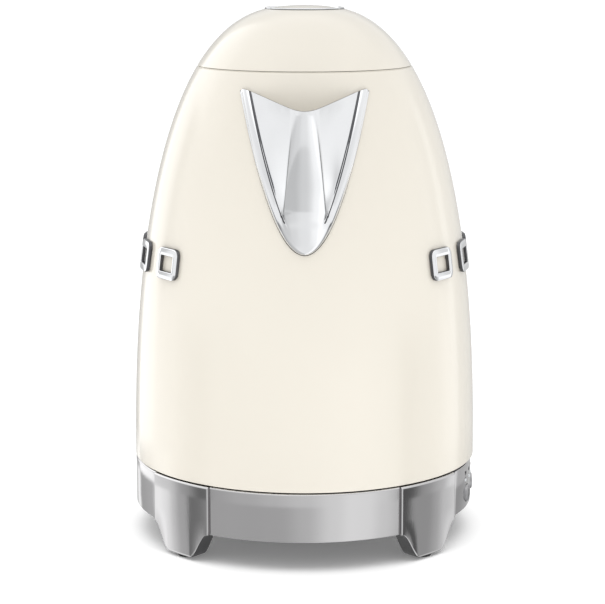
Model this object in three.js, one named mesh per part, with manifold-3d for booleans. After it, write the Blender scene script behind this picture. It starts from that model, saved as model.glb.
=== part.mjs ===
// Cordless electric kettle: a domed jug with a hinged lid and a release button, a D handle and a swivel base.
// Millimetres, +Z up. Everything is built about the jug's upright axis, spout towards -Y, handle towards +Y
// and control panel towards +X. The last lines move the whole to put its origin under the footprint's middle.
import * as THREE from "three";
import { mergeVertices } from "three/addons/utils/BufferGeometryUtils.js";
import Module from "manifold-3d";

const wasm = await Module();
wasm.setup();

// ---- driving dimensions ---------------------------------------------------------------------------------
const BODY_R = 85.5; // widest radius of the jug, down at its foot
const CROWN_Z = 262; // top of the lid button
const BELLY_Z = 33.3; // height where the jug's side stands upright
const SIDE_POWER = 2.31; // how late the side starts to curve in
const SIDE_ROUND = 0.371; // how round the shoulder is
const WALL = 1.3; // sheet of the jug
const GAP = 0.35; // clearance between neighbouring pieces

const BASE_TOP = 38.2; // top of the power base's skirt
const JUG_FOOT = 38.8; // lower edge of the jug's sheet
const LID_SEAM = 232.6; // middle of the gap between jug and lid
const SEAM_HALF = 0.3;

const SKIRT_R = 85.3; // panels of the skirt
const PILLAR_R = 86.3; // the four foot pillars stand a little proud
const PILLAR_ROUND = 110; // their faces are flatter than the skirt
const PANEL_R = 82.6; // recess that takes the control panel
const PANEL_FACE = 84.2;
const SKIRT_WALL = 1.9;
const SKIRT_LOW = 14.5; // lower edge between the feet
const FOOT_LOW = 1.3; // the rubber pads stand below this
const PILLAR_HALF = 12.9; // degrees each side of a foot's middle
const FOOT_HALF = 5; // degrees of flat sole each side
const LEG_DEPTH = 10; // thickness of a leg, outside to inside

const SPOUT_TIP = 150.5; // lowest point of the spout
const SPOUT_LIP = 217; // pouring lip
const SPOUT_CORNER = 225.5; // upper corners, on the jug's side
const SPOUT_CORNER_R = 2.3;
const SPOUT_SPREAD = 3.48; // half width grows as this times the root of the height above the tip
const SPOUT_OUT = 22; // how far the lip stands out of the jug
const SPOUT_WALL = 2.7;
const BEAD_WIDTH = 4.2;
const BEAD_HEIGHT = 1.5;

const HINGE_Y = 58.5;
const HINGE_Z = 235.6;
const PIN_R = 1.5;

const HANDLE_WIDE = 13; // half width across
const HANDLE_THICK = 8.5; // half thickness, inside to outside
const HANDLE_START = 70.4; // where the handle leaves the hinge bracket

const BUTTON_R = 17; // lid button
const BADGE_ANGLES = [54.5, 75.5, 96.5, 117.5]; // degrees round from the spout, on each side
const BADGE_Z = 141.3;
const BADGE_WIDE = 17.6;
const BADGE_TALL = 14.8;
const BADGE_STROKE = 3.6; // width of the bar that each link is bent from
const BADGE_RAISED = 2.4;
const BADGE_CORNER = 3.4;
const PANEL_BUTTON_ANGLES = { temperature: -16, start: 0, keep_warm: 16 }; // degrees from +X
const BUTTON_ANGLES = Object.values(PANEL_BUTTON_ANGLES);
const PANEL_BUTTON_Z = 21.8;
const LIGHT_Z = 29;
const SEGMENTS = 28;

// ---- small helpers --------------------------------------------------------------------------------------
const rad = THREE.MathUtils.degToRad;
const lerp = THREE.MathUtils.lerp;
const clamp = THREE.MathUtils.clamp;
const smooth = THREE.MathUtils.smoothstep;
const range = (n) => [...Array(n).keys()];
const linspace = (a, b, n) => range(n + 1).map((i) => lerp(a, b, i / n));

// Keeps only positions, merges them, and turns the faces outwards.
function solid(geometry) {
  const bare = new THREE.BufferGeometry().setAttribute("position", geometry.getAttribute("position"));
  if (geometry.index) bare.setIndex(geometry.index);
  const merged = mergeVertices(bare, 1e-3);
  const p = merged.attributes.position;
  const corner = (i) => new THREE.Vector3().fromBufferAttribute(p, i);
  const faces = [];
  let volume = 0;
  const index = merged.index.array;
  for (let i = 0; i < index.length; i += 3) {
    const [a, b, c] = [index[i], index[i + 1], index[i + 2]];
    if (a === b || b === c || c === a) continue;
    faces.push([a, b, c]);
    volume += corner(a).dot(corner(b).cross(corner(c)));
  }
  merged.setIndex(faces.flatMap(([a, b, c]) => (volume < 0 ? [a, c, b] : [a, b, c])));
  return merged;
}

function toManifold(geometry) {
  const g = solid(geometry);
  return new wasm.Manifold(
    new wasm.Mesh({
      numProp: 3,
      vertProperties: new Float32Array(g.attributes.position.array),
      triVerts: new Uint32Array(g.index.array),
    }),
  );
}

function fromManifold(manifold) {
  const mesh = manifold.getMesh();
  const g = new THREE.BufferGeometry();
  g.setAttribute("position", new THREE.BufferAttribute(new Float32Array(mesh.vertProperties), 3));
  g.setIndex(new THREE.BufferAttribute(new Uint32Array(mesh.triVerts), 1));
  return g;
}

function cut(geometry, ...tools) {
  return fromManifold(tools.reduce((left, tool) => left.subtract(toManifold(tool)), toManifold(geometry)));
}

function join(geometry, ...others) {
  return fromManifold(others.reduce((left, other) => left.add(toManifold(other)), toManifold(geometry)));
}

// A solid of revolution about Z. The [radius, height] outline ends on the axis, or it is a closed ring.
function lathe(outline, segments = SEGMENTS) {
  const ring = outline[0][0] > 0 ? [...outline, outline[0]] : outline;
  const g = new THREE.LatheGeometry(ring.map(([r, z]) => new THREE.Vector2(r, z)), segments);
  return solid(g.rotateX(Math.PI / 2));
}

const tube = (inner, outer, low, high, segments = SEGMENTS) =>
  lathe([[outer, low], [outer, high], [inner, high], [inner, low]], segments);
const rod = (r, low, high, segments = 12) => lathe([[0, low], [r, low], [r, high], [0, high]], segments);
const block = (x0, x1, y0, y1, z0, z1) =>
  new THREE.BoxGeometry(x1 - x0, y1 - y0, z1 - z0).translate((x0 + x1) / 2, (y0 + y1) / 2, (z0 + z1) / 2);
// A bar of round section along X.
const crossRod = (r, x0, x1, y, z, segments = 12) =>
  rod(r, x0, x1, segments).rotateY(Math.PI / 2).translate(0, y, z);
// A bar of round section that runs outwards from the axis at an angle from +X.
const radialRod = (r, inner, outer, angle, z, segments = 12) =>
  rod(r, inner, outer, segments).rotateY(Math.PI / 2).rotateZ(rad(angle)).translate(0, 0, z);
const round = (geometry, angle) => geometry.rotateZ(rad(angle));

// A closed surface from a list of points and a list of triangles.
function surface(points, index) {
  const g = new THREE.BufferGeometry().setFromPoints(points);
  g.setIndex(index);
  return solid(g);
}

// Faces between each ring of points and the next, and back to the first ring when the loop is closed.
function skin(rings, closed) {
  const count = rings[0].length;
  return range(closed ? rings.length : rings.length - 1).flatMap((i) =>
    range(count).flatMap((j) => {
      const next = (i + 1) % rings.length;
      const [a, b] = [i * count + j, i * count + ((j + 1) % count)];
      const [c, d] = [next * count + j, next * count + ((j + 1) % count)];
      return [a, b, d, a, d, c];
    }),
  );
}

// Joins rings of points, each with the same count, into a solid with flat ends, or into a closed loop.
function loft(rings, closed = false) {
  const count = rings[0].length;
  const end = (rings.length - 1) * count;
  const caps = range(count - 2).flatMap((j) => [0, j + 2, j + 1, end, end + j + 1, end + j + 2]);
  return surface(rings.flat(), [...skin(rings, closed), ...(closed ? [] : caps)]);
}

// A plate between two curved surfaces, each a function of u and v from 0 to 1 that gives a point.
function plate(front, back, nu, nv) {
  const rings = linspace(0, 1, nv).map((v) => [
    ...linspace(0, 1, nu).map((u) => front(u, v)),
    ...linspace(1, 0, nu).map((u) => back(u, v)),
  ]);
  const count = 2 * (nu + 1);
  const end = nv * count;
  const edges = range(nu).flatMap((j) => {
    const [a, b, c, d] = [j, j + 1, count - 1 - j, count - 2 - j];
    return [a, c, b, b, c, d, end + a, end + b, end + c, end + b, end + d, end + c];
  });
  return surface(rings.flat(), [...skin(rings, false), ...edges]);
}

// A round wire or rod of radius r along points, with flat ends.
function wire(points, r, sides = 6) {
  let side = new THREE.Vector3(0.31, 0.47, 0.83);
  const rings = points.map((p, i) => {
    const before = points[Math.max(i - 1, 0)];
    const along = points[Math.min(i + 1, points.length - 1)].clone().sub(before).normalize();
    side = side.clone().addScaledVector(along, -side.dot(along)).normalize();
    const other = along.clone().cross(side);
    return range(sides).map((k) => {
      const a = (2 * Math.PI * k) / sides;
      return p.clone().addScaledVector(side, r * Math.cos(a)).addScaledVector(other, r * Math.sin(a));
    });
  });
  return loft(rings);
}

// A coil spring about Z, from one height to another.
function coil(meanR, wireR, low, high, turns, stepsPerTurn = 8) {
  const n = Math.round(turns * stepsPerTurn);
  const points = range(n + 1).map((i) => {
    const a = (2 * Math.PI * i) / stepsPerTurn;
    return new THREE.Vector3(meanR * Math.cos(a), meanR * Math.sin(a), lerp(low, high, i / n));
  });
  return wire(points, wireR, 4);
}

// ---- the jug's outline ----------------------------------------------------------------------------------
// Outside radius at a height: an upright foot that closes into a dome.
function sideR(z) {
  const t = clamp((z - BELLY_Z) / (CROWN_Z - BELLY_Z), 0, 1);
  return BODY_R * Math.pow(Math.max(0, 1 - Math.pow(t, SIDE_POWER)), SIDE_ROUND);
}

// Outline points between two heights, moved inwards along the normal. Bunch over 1 crowds them to the top.
function sideLine(low, high, steps, inset = 0, bunch = 1) {
  return range(steps + 1).map((i) => {
    const z = lerp(low, high, 1 - Math.pow(1 - i / steps, bunch));
    const h = 0.05;
    const slope = (sideR(z + h) - sideR(z - h)) / (2 * h);
    const long = Math.hypot(1, slope);
    return [sideR(z) - inset / long, z + (inset * slope) / long];
  });
}

// A point on the jug's side, x across and z up, standing off the sheet towards the front (-1) or back (+1).
const onSide = (x, z, standOff, facing) =>
  new THREE.Vector3(x, facing * (Math.sqrt(Math.max(0, sideR(z) ** 2 - x * x)) + standOff), z);

// The space inside the outline, with a margin: cuts other pieces back to the jug's side.
const jugEnvelope = (margin) =>
  lathe([[0, JUG_FOOT - 2], ...sideLine(JUG_FOOT - 2, CROWN_Z - 2, 22, -margin, 1.6), [0, CROWN_Z + margin]]);

// ---- materials ------------------------------------------------------------------------------------------
const finish = (color, roughness, metalness) =>
  new THREE.MeshStandardMaterial({ color, roughness, metalness });
const CREAM = finish(0xf3efe0, 0.16, 0);
const CHROME = finish(0xe4e5e8, 0.06, 1);
const BRUSHED = finish(0xa9a9ab, 0.32, 1);
const STEEL = finish(0xc4c6c8, 0.28, 1);
const GREY_PLASTIC = finish(0x6f7174, 0.5, 0);
const DARK_PLASTIC = finish(0x2b2c2e, 0.55, 0);
const SILICONE = finish(0xd9dad8, 0.6, 0);
const RUBBER = finish(0x1f1f20, 0.8, 0);
const BRASS = finish(0xc6a35a, 0.3, 1);
const BOARD = finish(0x1e5a3a, 0.5, 0);
const CLEAR = finish(0xe8f0f2, 0.08, 0);
const LIGHT = finish(0xf4f6f8, 0.3, 0);

const part = new THREE.Group();
const kettle = new THREE.Group();
part.add(kettle);
function add(name, material, geometry) {
  const mesh = new THREE.Mesh(geometry, material.clone());
  mesh.name = name;
  kettle.add(mesh);
}

// ---- power base -----------------------------------------------------------------------------------------
// 0 between the feet, 1 on a foot's sole, by degrees from the foot's middle.
const footShare = (off) => 1 - smooth(Math.abs(off), FOOT_HALF, PILLAR_HALF - 0.4);

// Radius of a pillar's face, a wide arc that touches PILLAR_R in its middle.
function pillarR(off) {
  const inset = PILLAR_ROUND - PILLAR_R;
  return Math.sqrt(PILLAR_ROUND ** 2 - (inset * Math.sin(rad(off))) ** 2) - inset * Math.cos(rad(off));
}

function baseSkirt() {
  const legs = linspace(-11.6, -FOOT_HALF, 5);
  const offsets = [-34, -23.5, -PILLAR_HALF - 0.2, -PILLAR_HALF + 0.2, ...legs];
  const turns = range(4).flatMap((quarter) =>
    [...offsets, 0, ...offsets.map((o) => -o).reverse(), 45].map((off) => ({ quarter, off })),
  );
  const rings = turns.map(({ quarter, off }) => {
    const pillar = Math.abs(off) < PILLAR_HALF;
    const towardsPanel = (quarter === 0 && off < 0) || (quarter === 3 && off > 0);
    const outer = pillar ? pillarR(off) : towardsPanel ? PANEL_R : SKIRT_R;
    const share = pillar ? footShare(off) : 0;
    const low = lerp(SKIRT_LOW, FOOT_LOW, share);
    const inner = outer - SKIRT_WALL;
    const legInner = lerp(inner, outer - LEG_DEPTH, smooth(share, 0, 0.35));
    const outline = [
      [outer, BASE_TOP], [outer, low], [legInner, low], [legInner, 20], [inner, 21.5],
      [inner, BASE_TOP - 1.7], [80, BASE_TOP - 1.7], [80, BASE_TOP],
    ];
    const a = rad(45 + 90 * quarter + off);
    return outline.map(([r, z]) => new THREE.Vector3(r * Math.cos(a), r * Math.sin(a), z));
  });
  const pads = range(4).map((i) => round(rod(4.2, -1, 3.2, 16).translate(PILLAR_R - 5, 0, 0), 45 + 90 * i));
  const buttonHoles = BUTTON_ANGLES.map((a) => radialRod(4.6, 70, 90, a, PANEL_BUTTON_Z));
  const lightSlot = lightArc(78, 90, LIGHT_Z - 1.3, LIGHT_Z + 1.3, 20);
  const cordNotch = block(-6, 6, 70, 90, 10, 22);
  return cut(loft(rings, true), ...pads, ...buttonHoles, lightSlot, cordNotch);
}

// A flat arc of bar about +X, from one radius to another, with half its angle in degrees.
function lightArc(inner, outer, low, high, half) {
  const rings = linspace(-half, half, 8).map((deg) => {
    const a = rad(deg);
    return [[outer, low], [outer, high], [inner, high], [inner, low]].map(
      ([r, z]) => new THREE.Vector3(r * Math.cos(a), r * Math.sin(a), z),
    );
  });
  return loft(rings);
}

function controlPanel() {
  const holes = BUTTON_ANGLES.map((a) => radialRod(4.6, 80, 90, a, PANEL_BUTTON_Z));
  const pips = LIGHT_ANGLES.map((a) => radialRod(1.3, 80, 90, a, LIGHT_Z, 6));
  const panel = lightArc(PANEL_R + GAP, PANEL_FACE, SKIRT_LOW + 0.4, BASE_TOP - 1, 29);
  return cut(panel, ...holes, ...pips);
}
const LIGHT_ANGLES = linspace(-18, 18, 6);

// One bar that carries light to seven round windows in the panel.
function lightGuide() {
  const bar = lightArc(79.5, 80.4, LIGHT_Z - 1.1, LIGHT_Z + 1.1, 19.5);
  return join(bar, ...LIGHT_ANGLES.map((a) => radialRod(0.95, 80, PANEL_FACE + 0.3, a, LIGHT_Z, 6)));
}

const panelButton = (angle) =>
  join(
    radialRod(4.2, 76, BODY_R - 0.1, angle, PANEL_BUTTON_Z, 20),
    radialRod(5, 76, 78, angle, PANEL_BUTTON_Z, 20),
  );

function controlBoard() {
  const switches = BUTTON_ANGLES.map((a) => {
    const y = 76 * Math.sin(rad(a));
    return block(68.8, 76 * Math.cos(rad(a)) - 1.9, y - 3, y + 3, PANEL_BUTTON_Z - 3, PANEL_BUTTON_Z + 3);
  });
  return join(block(67.2, 68.8, -30, 30, 17.2, 31), ...switches);
}

function baseDeck() {
  const deck = lathe([
    [15, 33.9], [30, 33.9], [32, 32.9], [36, 32.9], [38, 33.9],
    [79.1, 33.9], [79.1, 28], [77.5, 28], [77.5, 31.6], [15, 31.6],
  ]);
  const posts = range(4).map((i) => round(tube(1.6, 3.6, 17, 31.8, 12).translate(60, 0, 0), 45 + 90 * i));
  return join(deck, ...posts);
}

const baseBottom = () =>
  cut(
    lathe([
      [0, 16.3], [80, 16.3], [80, 15], [42, 15], [42, 6.8], [52, 6.8], [52, 5.2], [40, 5.2], [40, 15],
      [0, 15],
    ]),
    ...range(4).map((i) => round(rod(1.9, 10, 20, 12).translate(60, 0, 0), 45 + 90 * i)),
    ...range(4).map((i) => round(block(75.2, 90, -20, 20, 10, 20), 45 + 90 * i)),
    block(-6, 6, 71.5, 90, 10, 20),
  );

const baseConnector = () =>
  lathe([
    [0, 24], [20, 24], [20, 31], [14, 31], [14, 43], [13, 44], [11.2, 44], [11.2, 37], [8.4, 37], [8.4, 44],
    [4.2, 44], [4.2, 36], [0, 36],
  ], 20);

// A screw that points up, at a distance from the axis, with a dimple in its head.
const screw = (distance, headZ, length) =>
  lathe([
    [0, headZ + 0.7], [1.1, headZ], [3.1, headZ], [3.1, headZ + 1.7], [1.3, headZ + 1.7], [0, headZ + length],
  ], 10).translate(distance, 0, 0);

function addBase() {
  add("base_skirt", BRUSHED, baseSkirt());
  add("control_panel", BRUSHED, controlPanel());
  add("light_guide", LIGHT, lightGuide());
  for (const [name, angle] of Object.entries(PANEL_BUTTON_ANGLES))
    add(name + "_button", CHROME, panelButton(angle));
  add("control_board", BOARD, controlBoard());
  add("base_deck", DARK_PLASTIC, baseDeck());
  add("base_bottom", DARK_PLASTIC, baseBottom());
  add("base_connector", DARK_PLASTIC, baseConnector());
  add("contact_ring_outer", BRASS, tube(9.2, 10.6, 37.3, 42.5, 20));
  add("contact_pin", BRASS, rod(2.2, 36.3, 42.8, 12));
  add("relay_module", DARK_PLASTIC, block(-62, -34, -18, 18, 17, 28));
  add("cord_outlet", RUBBER, cut(
    block(-5.6, 5.6, 72, SKIRT_R + 0.4, 14.6, 21.6),
    rod(3.4, 0, 40, 12).rotateX(-Math.PI / 2).translate(0, 60, 18.1),
  ));
  range(4).forEach((i) => {
    const pad = lathe([[0, 0], [3.2, 0], [3.9, 0.7], [3.9, 2.8], [0, 2.8]], 12);
    add("foot_pad_" + (i + 1), RUBBER, round(pad.translate(PILLAR_R - 5, 0, 0), 45 + 90 * i));
    add("base_screw_" + (i + 1), STEEL, round(screw(60, 12.9, 14), 45 + 90 * i));
  });
}

// ---- jug ------------------------------------------------------------------------------------------------
const spoutHalf = SPOUT_SPREAD * Math.sqrt(SPOUT_CORNER - SPOUT_TIP);

// Height of the spout's upper edge, from the lip in the middle out to a rounded corner.
function spoutTop(x) {
  const side = Math.abs(x) / spoutHalf;
  const ease = 0.17;
  const share = (Math.hypot(side, ease) - ease) / (Math.hypot(1, ease) - ease);
  const over = clamp(Math.abs(x) - (spoutHalf - SPOUT_CORNER_R), 0, SPOUT_CORNER_R);
  return lerp(SPOUT_LIP, SPOUT_CORNER, share) - SPOUT_CORNER_R + Math.sqrt(SPOUT_CORNER_R ** 2 - over ** 2);
}

// How far the spout's face stands off the jug: a bead along the rim, hollow flanks and a blunt nose.
function spoutOff(across, z) {
  const x = Math.abs(across);
  const wide = SPOUT_SPREAD * Math.sqrt(Math.max(0, z - SPOUT_TIP));
  const t = clamp((z - SPOUT_TIP) / (SPOUT_LIP - SPOUT_TIP), 0, 1);
  const upper = smooth(z, 160, 184);
  const edge = (wide - x) / Math.hypot(1, SPOUT_SPREAD ** 2 / (2 * Math.max(1, wide)));
  const crest = Math.sqrt(1 - Math.abs(clamp((2 * edge) / BEAD_WIDTH, 0, 2) - 1) ** 2.4);
  const bead = BEAD_HEIGHT * (edge < BEAD_WIDTH / 2 ? crest : lerp(1, crest, upper));
  const nose = Math.min(lerp(11.5, 4.6, t), 0.62 * wide);
  const reach = wide - lerp(0.6, BEAD_WIDTH - 0.3, upper);
  const blunt = lerp(0.3, 0.05, upper);
  const front = 1 - blunt * Math.min(2, (x / nose) ** 2.6);
  const away = clamp((x - nose) / (reach - nose), -0.5, 1);
  const flank = (1 - blunt) * (1 - away) ** lerp(0.9, 1.5, upper);
  const beak = SPOUT_OUT * t ** 1.3 * Math.max(0, Math.min(flank, front));
  const power = lerp(1.3, 3, upper);
  return (bead ** power + beak ** power) ** (1 / power);
}

function spout() {
  const at = (u, v, back) => {
    const rise = lerp(0.07, 1, v);
    const x = Math.sin((u - 0.5) * Math.PI) * rise * spoutHalf;
    const z = SPOUT_TIP + rise * rise * (spoutTop(x / rise) - SPOUT_TIP);
    const face = GAP + 0.5 + spoutOff(x, z);
    return onSide(x, z, back ? Math.max(GAP, face - SPOUT_WALL) : face, -1);
  };
  return plate((u, v) => at(u, v, false), (u, v) => at(u, v, true), 20, 12);
}

// A tool that cuts along Y, wider at its upper edge: half widths and heights of the two edges.
function taperedHole(lowHalf, highHalf, low, high) {
  const shape = new THREE.Shape([
    new THREE.Vector2(-lowHalf, low), new THREE.Vector2(lowHalf, low),
    new THREE.Vector2(highHalf, high), new THREE.Vector2(-highHalf, high),
  ]);
  const bar = new THREE.ExtrudeGeometry(shape, { depth: 40, bevelEnabled: false });
  return bar.rotateX(Math.PI / 2).translate(0, -40, 0);
}

const GAUGE_LOW = 118;
const GAUGE_HIGH = 196;
const gaugeStrip = (half, low, high, outer, inner, steps) =>
  plate(
    (u, v) => onSide(lerp(-half, half, u), lerp(low, high, v), outer, 1),
    (u, v) => onSide(lerp(-half, half, u), lerp(low, high, v), inner, 1),
    2, steps,
  );

function jugBody() {
  const top = LID_SEAM - SEAM_HALF;
  const shell = lathe([
    ...sideLine(JUG_FOOT, top, 10, 0, 1.4),
    [48.2, top], [48.2, top - 0.9],
    ...sideLine(JUG_FOOT, top - 1.4, 10, WALL, 1.4).reverse(),
  ]);
  const windowHole = gaugeStrip(5.4, GAUGE_LOW - 0.4, GAUGE_HIGH + 0.4, 4, -6, 8);
  return cut(shell, taperedHole(8, 12.5, 192, 211.5), windowHole);
}

function hingeBracket() {
  const outline = new THREE.Shape([
    new THREE.Vector2(40, 214), new THREE.Vector2(70, 214), new THREE.Vector2(70, 234),
    new THREE.Vector2(64, 236.5), new THREE.Vector2(62.6, 236.5), new THREE.Vector2(40, 229),
  ]);
  const width = HANDLE_WIDE;
  const core = new THREE.ExtrudeGeometry(outline, { depth: 2 * width, bevelEnabled: false })
    .rotateX(Math.PI / 2).rotateZ(Math.PI / 2).translate(-width, 0, 0);
  return cut(
    join(core, crossRod(4.6, -width, width, HINGE_Y, HINGE_Z, 20)),
    block(-7.6, 7.6, 40, 62.6, 231.8, 250),
    crossRod(PIN_R + GAP, -30, 30, HINGE_Y, HINGE_Z, 12),
    jugEnvelope(GAP),
  );
}

const handleLine = new THREE.CubicBezierCurve3(
  new THREE.Vector3(0, 52, 223),
  new THREE.Vector3(0, 149, 247),
  new THREE.Vector3(0, 158, 94),
  new THREE.Vector3(0, 78, 99),
);

// One half of the handle, split along its middle: the outer shell for +1, the inner grip for -1.
function handleHalf(outwards) {
  const rings = linspace(0, 1, 14).map((t) => {
    const middle = handleLine.getPoint(t);
    const along = handleLine.getTangent(t);
    const out = new THREE.Vector3(0, -along.z, along.y).multiplyScalar(outwards);
    const swell = 1 + 0.16 * Math.pow(Math.abs(2 * t - 1), 3);
    return linspace(0, Math.PI, 8).map((a) => {
      const across = HANDLE_WIDE * Math.sign(Math.cos(a)) * Math.pow(Math.abs(Math.cos(a)), 0.7);
      const thick = HANDLE_THICK * Math.pow(Math.sin(a), 0.8) * swell + 0.18;
      return middle.clone().add(new THREE.Vector3(across, 0, 0)).addScaledVector(out, thick);
    });
  });
  return cut(loft(rings), jugEnvelope(GAP), block(-30, 30, 0, HANDLE_START, 205, 260));
}

// A raised oblong link with round corners, bent to the jug's side.
function badge(angle) {
  const section = [
    [0, GAP], [0, 2], [0.4, BADGE_RAISED], [BADGE_STROKE - 0.4, BADGE_RAISED], [BADGE_STROKE, 2],
    [BADGE_STROKE, GAP],
  ];
  const corners = [[1, 1], [-1, 1], [-1, -1], [1, -1]];
  const rings = corners.flatMap(([sx, sz], i) =>
    linspace(0, Math.PI / 2, 3).map((turn) =>
      section.map(([inset, standOff]) => {
        const corner = Math.max(0.5, BADGE_CORNER - inset);
        const a = (i * Math.PI) / 2 + turn;
        const x = sx * (BADGE_WIDE / 2 - inset - corner) + corner * Math.cos(a);
        const z = sz * (BADGE_TALL / 2 - inset - corner) + corner * Math.sin(a);
        return onSide(x, BADGE_Z + z, standOff, -1);
      }),
    ),
  );
  return round(loft(rings, true), angle);
}

function filterFrame() {
  const inner = (z) => sideR(z) - WALL - 1.2;
  const at = (u, v, back) => {
    const z = lerp(187, 216, v);
    const x = lerp(-17, 17, u);
    return new THREE.Vector3(x, -(Math.sqrt(inner(z) ** 2 - x * x) - (back ? 2.4 : 0)), z);
  };
  const frame = plate((u, v) => at(u, v, false), (u, v) => at(u, v, true), 6, 4);
  return cut(frame, taperedHole(7.8, 12.2, 193.2, 212.5));
}

function filterMesh() {
  const at = (u, v, back) => {
    const z = lerp(193.8, 212, v);
    const half = lerp(7.6, 11.4, v);
    const x = lerp(-half, half, u);
    return new THREE.Vector3(x, -(Math.sqrt((sideR(z) - WALL - 2.1) ** 2 - x * x) - (back ? 0.7 : 0)), z);
  };
  return plate((u, v) => at(u, v, false), (u, v) => at(u, v, true), 4, 3);
}

const lidSeat = () =>
  lathe([[46, 221.5], [47.3, 221.5], [47.3, 228.8], [51, 228.8], [51, 230], [46, 230]]);

const PROBE = [24, 22];
const probe = () => lathe([[0, 47.5], [2, 47.5], [2, 54], [3, 54.2], [3, 60.5], [2, 61.4], [0, 61.6]], 12);

const heaterPlate = () =>
  cut(
    lathe([[0, 56], [82.4, 56], [83.6, 57.2], [83.6, 64], [82.4, 64], [82.4, 58], [81, 57.3], [0, 57.3]]),
    rod(3.5, 50, 60, 12).translate(...PROBE, 0),
  );

function heatingElement() {
  const angles = linspace(rad(110), rad(430), 24);
  return wire(angles.map((a) => new THREE.Vector3(54 * Math.cos(a), 54 * Math.sin(a), 51.4)), 4, 6);
}

const SCREW_ANGLES = [30, 150, 270];
const jugBottom = () =>
  cut(
    join(
      lathe([
        [21.8, 34.4], [78.6, 34.4], [79, 39.4], [83.6, 39.4], [83.6, 41.4], [76.8, 41.4], [76.4, 36.4],
        [21.8, 36.4],
      ]),
      ...SCREW_ANGLES.map((a) => round(rod(5.4, 35, 39.4, 12).translate(68, 0, 0), a)),
    ),
    ...SCREW_ANGLES.map((a) => round(rod(3.5, 30, 36.9, 12).translate(68, 0, 0), a)),
    ...SCREW_ANGLES.map((a) => round(rod(1.7, 30, 45, 12).translate(68, 0, 0), a)),
  );

const thermalControl = () =>
  join(block(-22, 22, -15, 15, 47.3, 53.4), rod(7, 53, 55.4, 16), block(-30, -22.5 + 1, -6, 6, 48, 51.6));

function addJug() {
  add("jug_body", CREAM, jugBody());
  add("spout", CHROME, spout());
  add("lid_seat", STEEL, lidSeat());
  add("filter_frame", GREY_PLASTIC, filterFrame());
  add("filter_mesh", STEEL, filterMesh());
  add("heater_plate", STEEL, heaterPlate());
  add("plate_seal", SILICONE, lathe([[80.6, 51], [83.7, 51], [83.7, 55.6], [80.6, 55.6]]));
  add("heating_element", STEEL, heatingElement());
  add("thermal_control", DARK_PLASTIC, thermalControl());
  add("temperature_probe", STEEL, probe().translate(...PROBE, 0));
  add("jug_bottom", DARK_PLASTIC, jugBottom());
  SCREW_ANGLES.forEach((a, i) => add("jug_screw_" + (i + 1), STEEL, round(screw(68, 34.9, 12), a)));
  add("gauge_window", CLEAR, gaugeStrip(5, GAUGE_LOW, GAUGE_HIGH, 0.9, -2.6, 8));
  add("hinge_bracket", CREAM, hingeBracket());
  add("hinge_pin", STEEL, crossRod(PIN_R, -12.4, 12.4, HINGE_Y, HINGE_Z, 12));
  const spring = coil(2.55, 0.4, 4.9, 7.1, 2.5).rotateY(Math.PI / 2);
  add("hinge_spring", STEEL, spring.translate(0, HINGE_Y, HINGE_Z));
  add("handle_shell", CREAM, handleHalf(1));
  add("handle_grip", CREAM, handleHalf(-1));
  for (const [side, sign] of Object.entries({ right: 1, left: -1 }))
    BADGE_ANGLES.forEach((angle, i) => add(`badge_${side}_${i + 1}`, CHROME, badge(sign * angle)));
  const socket = [[0, 46.7], [21, 46.7], [21, 35], [14.9, 35], [14.9, 44.8], [0, 44.8]];
  add("jug_socket", DARK_PLASTIC, lathe(socket, 24));
}

// ---- lid ------------------------------------------------------------------------------------------------
function lidShell() {
  const low = LID_SEAM + SEAM_HALF;
  const high = 260.15;
  const shell = lathe([
    ...sideLine(low, high, 6, 0, 1.9),
    [19.8, high], [19.8, high - 1.9],
    ...sideLine(low + 1.4, high - 0.7, 5, 1.7, 1.9).reverse().slice(1),
    [sideR(low) - 1.9, low],
  ]);
  return cut(shell, block(-6, 6, 42, 62, 228, 235.2));
}

function lidLiner() {
  const cup = lathe([
    [0, 224.5], [41, 224.5], [42.9, 226], [42.9, 233.2], [49.2, 233.2], [49.2, 234.1],
    [41.7, 234.1], [41.7, 226.2], [40.4, 225.6], [0, 225.6],
  ]);
  const tongue = block(-4.2, 4.2, 47, HINGE_Y - 1, 233.2, 234.7);
  const barrel = crossRod(3.1, -4.2, 4.2, HINGE_Y, HINGE_Z, 16);
  return cut(
    join(cup, tongue, barrel),
    crossRod(PIN_R + GAP, -20, 20, HINGE_Y, HINGE_Z, 12),
    block(-6.3, 6.3, -60, -38, 229.1, 232.9),
  );
}

const lidFrame = () =>
  lathe([
    [4.2, 235], [47.4, 235], [47.4, 236.8], [12, 236.8], [12, 239], [10.8, 239], [10.8, 236.8], [4.2, 236.8],
  ], 24);

const lidButton = () =>
  lathe([
    [0, 232.8], [0.4, 232.8], [3.2, 235.6], [3.2, 257.8], [15.2, 257.8], [15.2, 251], [BUTTON_R, 251],
    [BUTTON_R, 260.2], [16, 261], [9, 261.7], [0, CROWN_Z],
  ], 24);

const buttonRing = () =>
  lathe([[17.45, 246], [19.3, 246], [19.3, 260.6], [18.9, 261], [17.9, 261], [17.45, 260.6]], 24);

const lidSeal = () => lathe([[43.25, 225.4], [45, 226.2], [44.2, 227.2], [45, 228.2], [43.25, 228.9]]);

const latch = () => cut(block(-5, 5, -44.9, 10, 229.7, 232.3), block(-3.8, 3.8, -7.2, 0.6, 228, 234));

function addLid() {
  add("lid_shell", CREAM, lidShell());
  add("lid_liner", STEEL, lidLiner());
  add("lid_frame", GREY_PLASTIC, lidFrame());
  add("lid_seal", SILICONE, lidSeal());
  add("button_ring", CHROME, buttonRing());
  add("lid_button", CREAM, lidButton());
  add("button_spring", STEEL, coil(7.4, 0.55, 237.7, 256.9, 4));
  add("latch", GREY_PLASTIC, latch());
}

addBase();
addJug();
addLid();

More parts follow.
